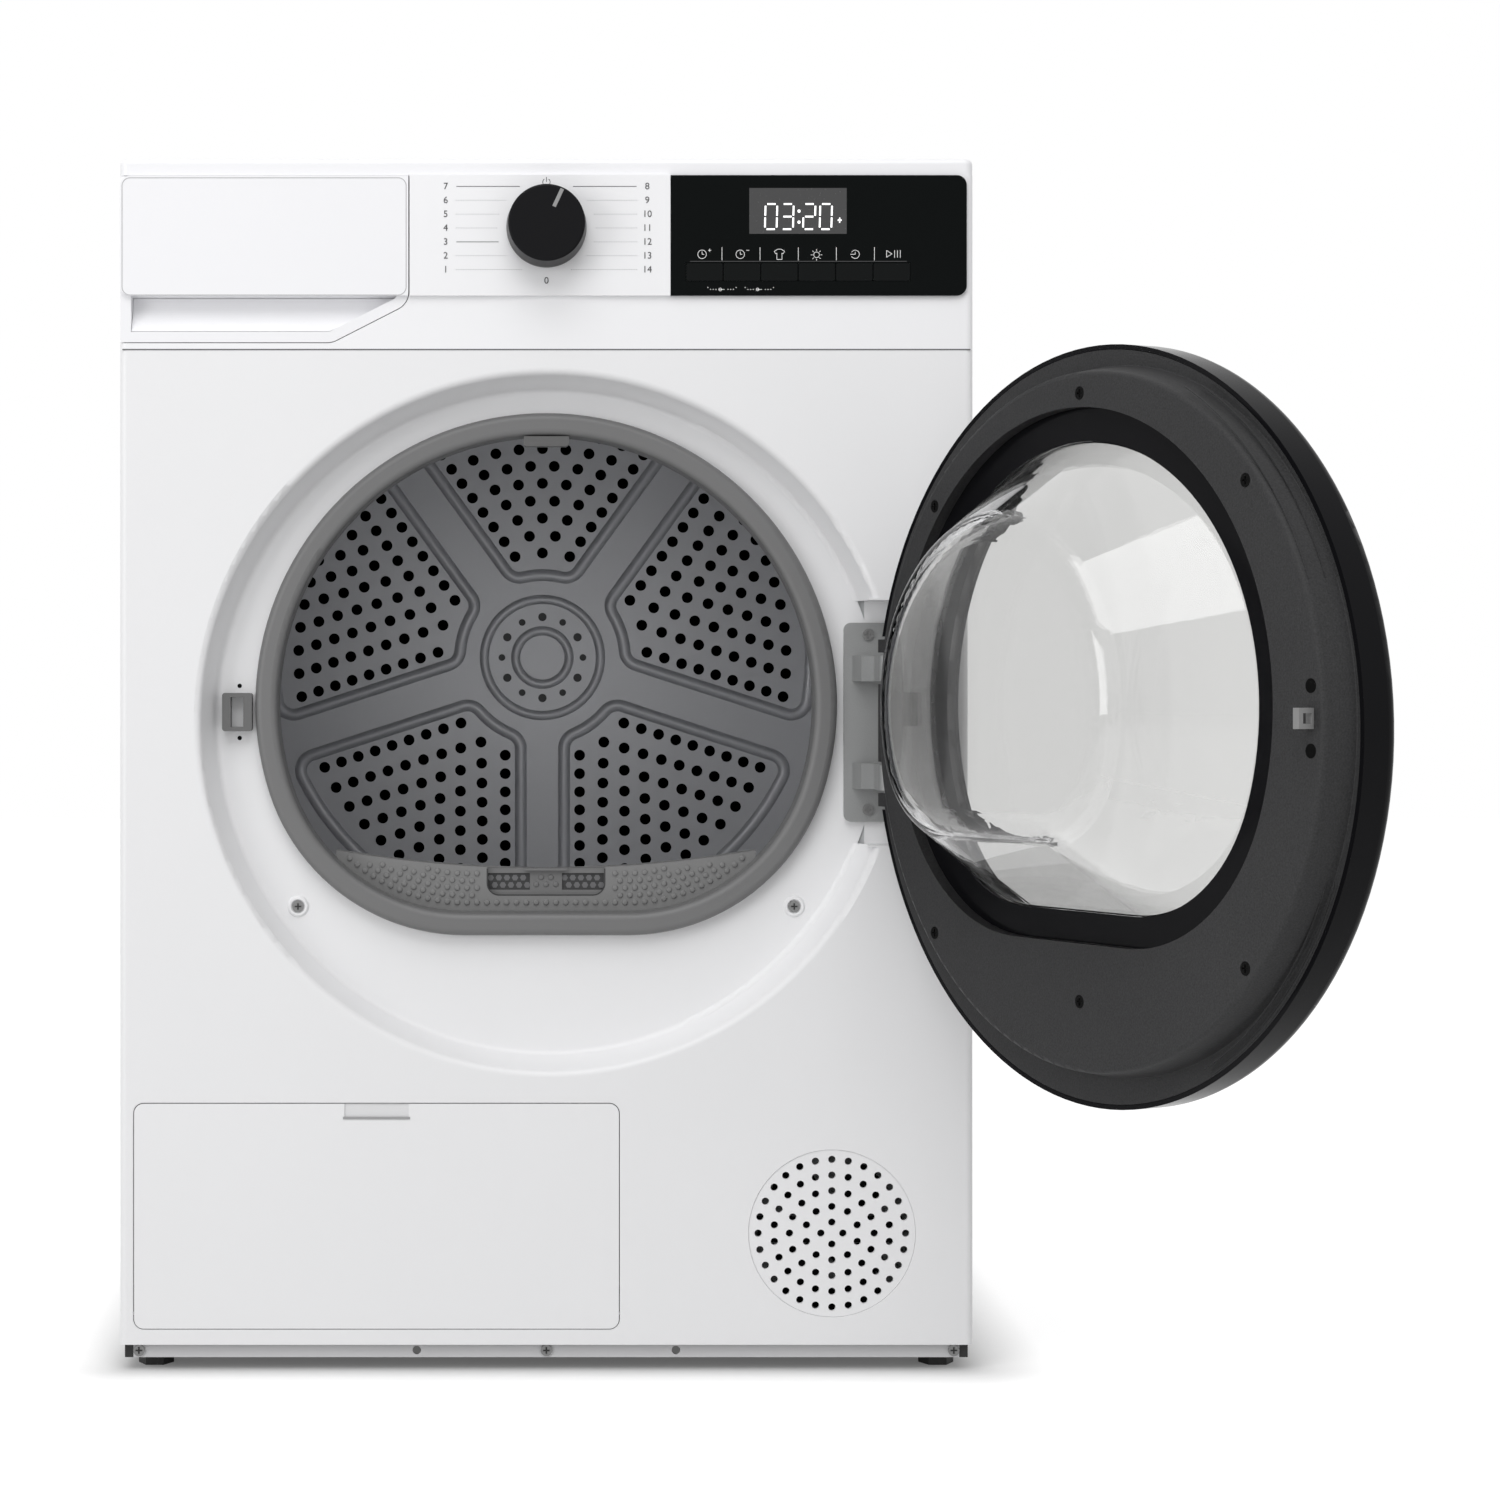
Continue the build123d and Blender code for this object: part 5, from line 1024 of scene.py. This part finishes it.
# %% Clip holes of the catch
# black discs: painted shade inside the clip holes
hole_shade_black = finish("hole_shade_black", (0.003, 0.003, 0.003), 0.6, grain_size=0.0006,
                    specular_ior_level=0.04)
catch_x = (catch_low.x + catch_high.x) / 2
catch_z = (catch_low.z + catch_high.z) / 2
clip_rise, clip_aside, clip_radius = 0.0185, 0.001, 0.0016
clips = bmesh.new()
for side in (-1, 1):
    hole = disc(catch_x + clip_aside, catch_z + side * clip_rise, clip_radius, 14)
    prism(clips, hole, recess_floor, recess_floor - ink_height)
piece("catch_clip_holes", clips, hole_shade_black, "cabinet")

# %% [markdown]
# ## Clip holes of the hook
# The same pair, wider, shows beside the hook on the door, again as black discs of painted shade. The
# door's inner side is stepped, so a ray finds the level there: places of the shut door are turned to
# the open one, and the hit turned back.

# %% Clip holes of the hook
bpy.context.view_layer.update()
opened = Matrix.Translation(hinge) @ Matrix.Rotation(door_swing, 4, "Z") @ Matrix.Translation(-hinge)


def door_face(x, z):
    """Depth of the shut door's inner side at this place, measured on the open door."""
    depths = []
    for name in ("door_inner_frame", "door_outer_ring"):
        node = frame["nodes"][name]
        inward = node.matrix_world.inverted() @ opened
        struck = node.ray_cast(inward @ Vector((x, 0, z)), inward.to_3x3() @ Vector((0, -1, 0)))
        if struck[0]:
            depths.append((inward.inverted() @ struck[1]).y)
    return max(depths)


hook_hole_radius = 0.0042
hook_holes = bmesh.new()
for side in (-1, 1):
    hole_z = catch_z + side * clip_rise
    hole_face = door_face(catch_x, hole_z)
    print("hole depth", round(hole_face, 5))
    prism(hook_holes, disc(catch_x, hole_z, hook_hole_radius, 18), hole_face, hole_face + 2 * ink_height)
swing_open(hook_holes)
piece("hook_clip_holes", hook_holes, hole_shade_black, "door")

# %% [markdown]
# ## Border of the bowl
# Between the grainy inner frame and the clear glass runs a black glossy border, the bowl's clamp
# ring. It follows the same outline as the mouth: a circle with a flat foot and generous corners.

# %% Border of the bowl
def flat_footed(radius, drop, corner, count=72):
    """Outline of a circle with a flat foot, starting at the right corner."""
    rise = corner - drop
    across = math.sqrt((radius - corner) ** 2 - rise ** 2)
    turn = math.degrees(math.atan2(rise, across))
    line = arc(0, 0, radius, turn, 180 - turn, count)
    line += arc(-across, rise, corner, 180 - turn, 270, count // 4)[1:]
    line += arc(across, rise, corner, 270, 360 + turn, count // 4)[:-1]
    return [(x, z + opening_z) for x, z in line]


ledge_depth, border_thick = 0.0080, 0.0012
ledge = front + ledge_depth
border_outer = flat_footed(radius=0.1868, drop=0.1478, corner=0.1278)
border_inner = flat_footed(radius=0.1660, drop=0.1290, corner=0.1090)
border = bmesh.new()
band_between(border, border_outer, border_inner, ledge, ledge + border_thick)
swing_open(border)
piece("bowl_border", border, door_gloss, "door")

# %% [markdown]
# ## Grip ridges
# On the rim of the door two sets of three fine ridges help the fingers. They are short arcs round
# the door's own middle, at the level of the rim.

# %% Grip ridges
ridge_radii = (0.2312, 0.2332, 0.2352)
ridge_middles, ridge_spread = (138, 222), 20
ridge_width, ridge_sink, ridge_height = 0.0008, 0.0006, 0.0004
ridges = bmesh.new()
for middle in ridge_middles:
    for radius in ridge_radii:
        ridge = arc(0, 0, radius, middle - ridge_spread, middle + ridge_spread, 40)
        ridge = [(door_x + x, door_z + z) for x, z in ridge]
        rim_face = max(door_face(*point) for point in ridge)
        stroke(ridges, ridge, ridge_width, rim_face - ridge_sink, rim_face + ridge_height)
    print("rim depth", round(rim_face, 5))
swing_open(ridges)
piece("grip_ridges", ridges, door_grain, "door")
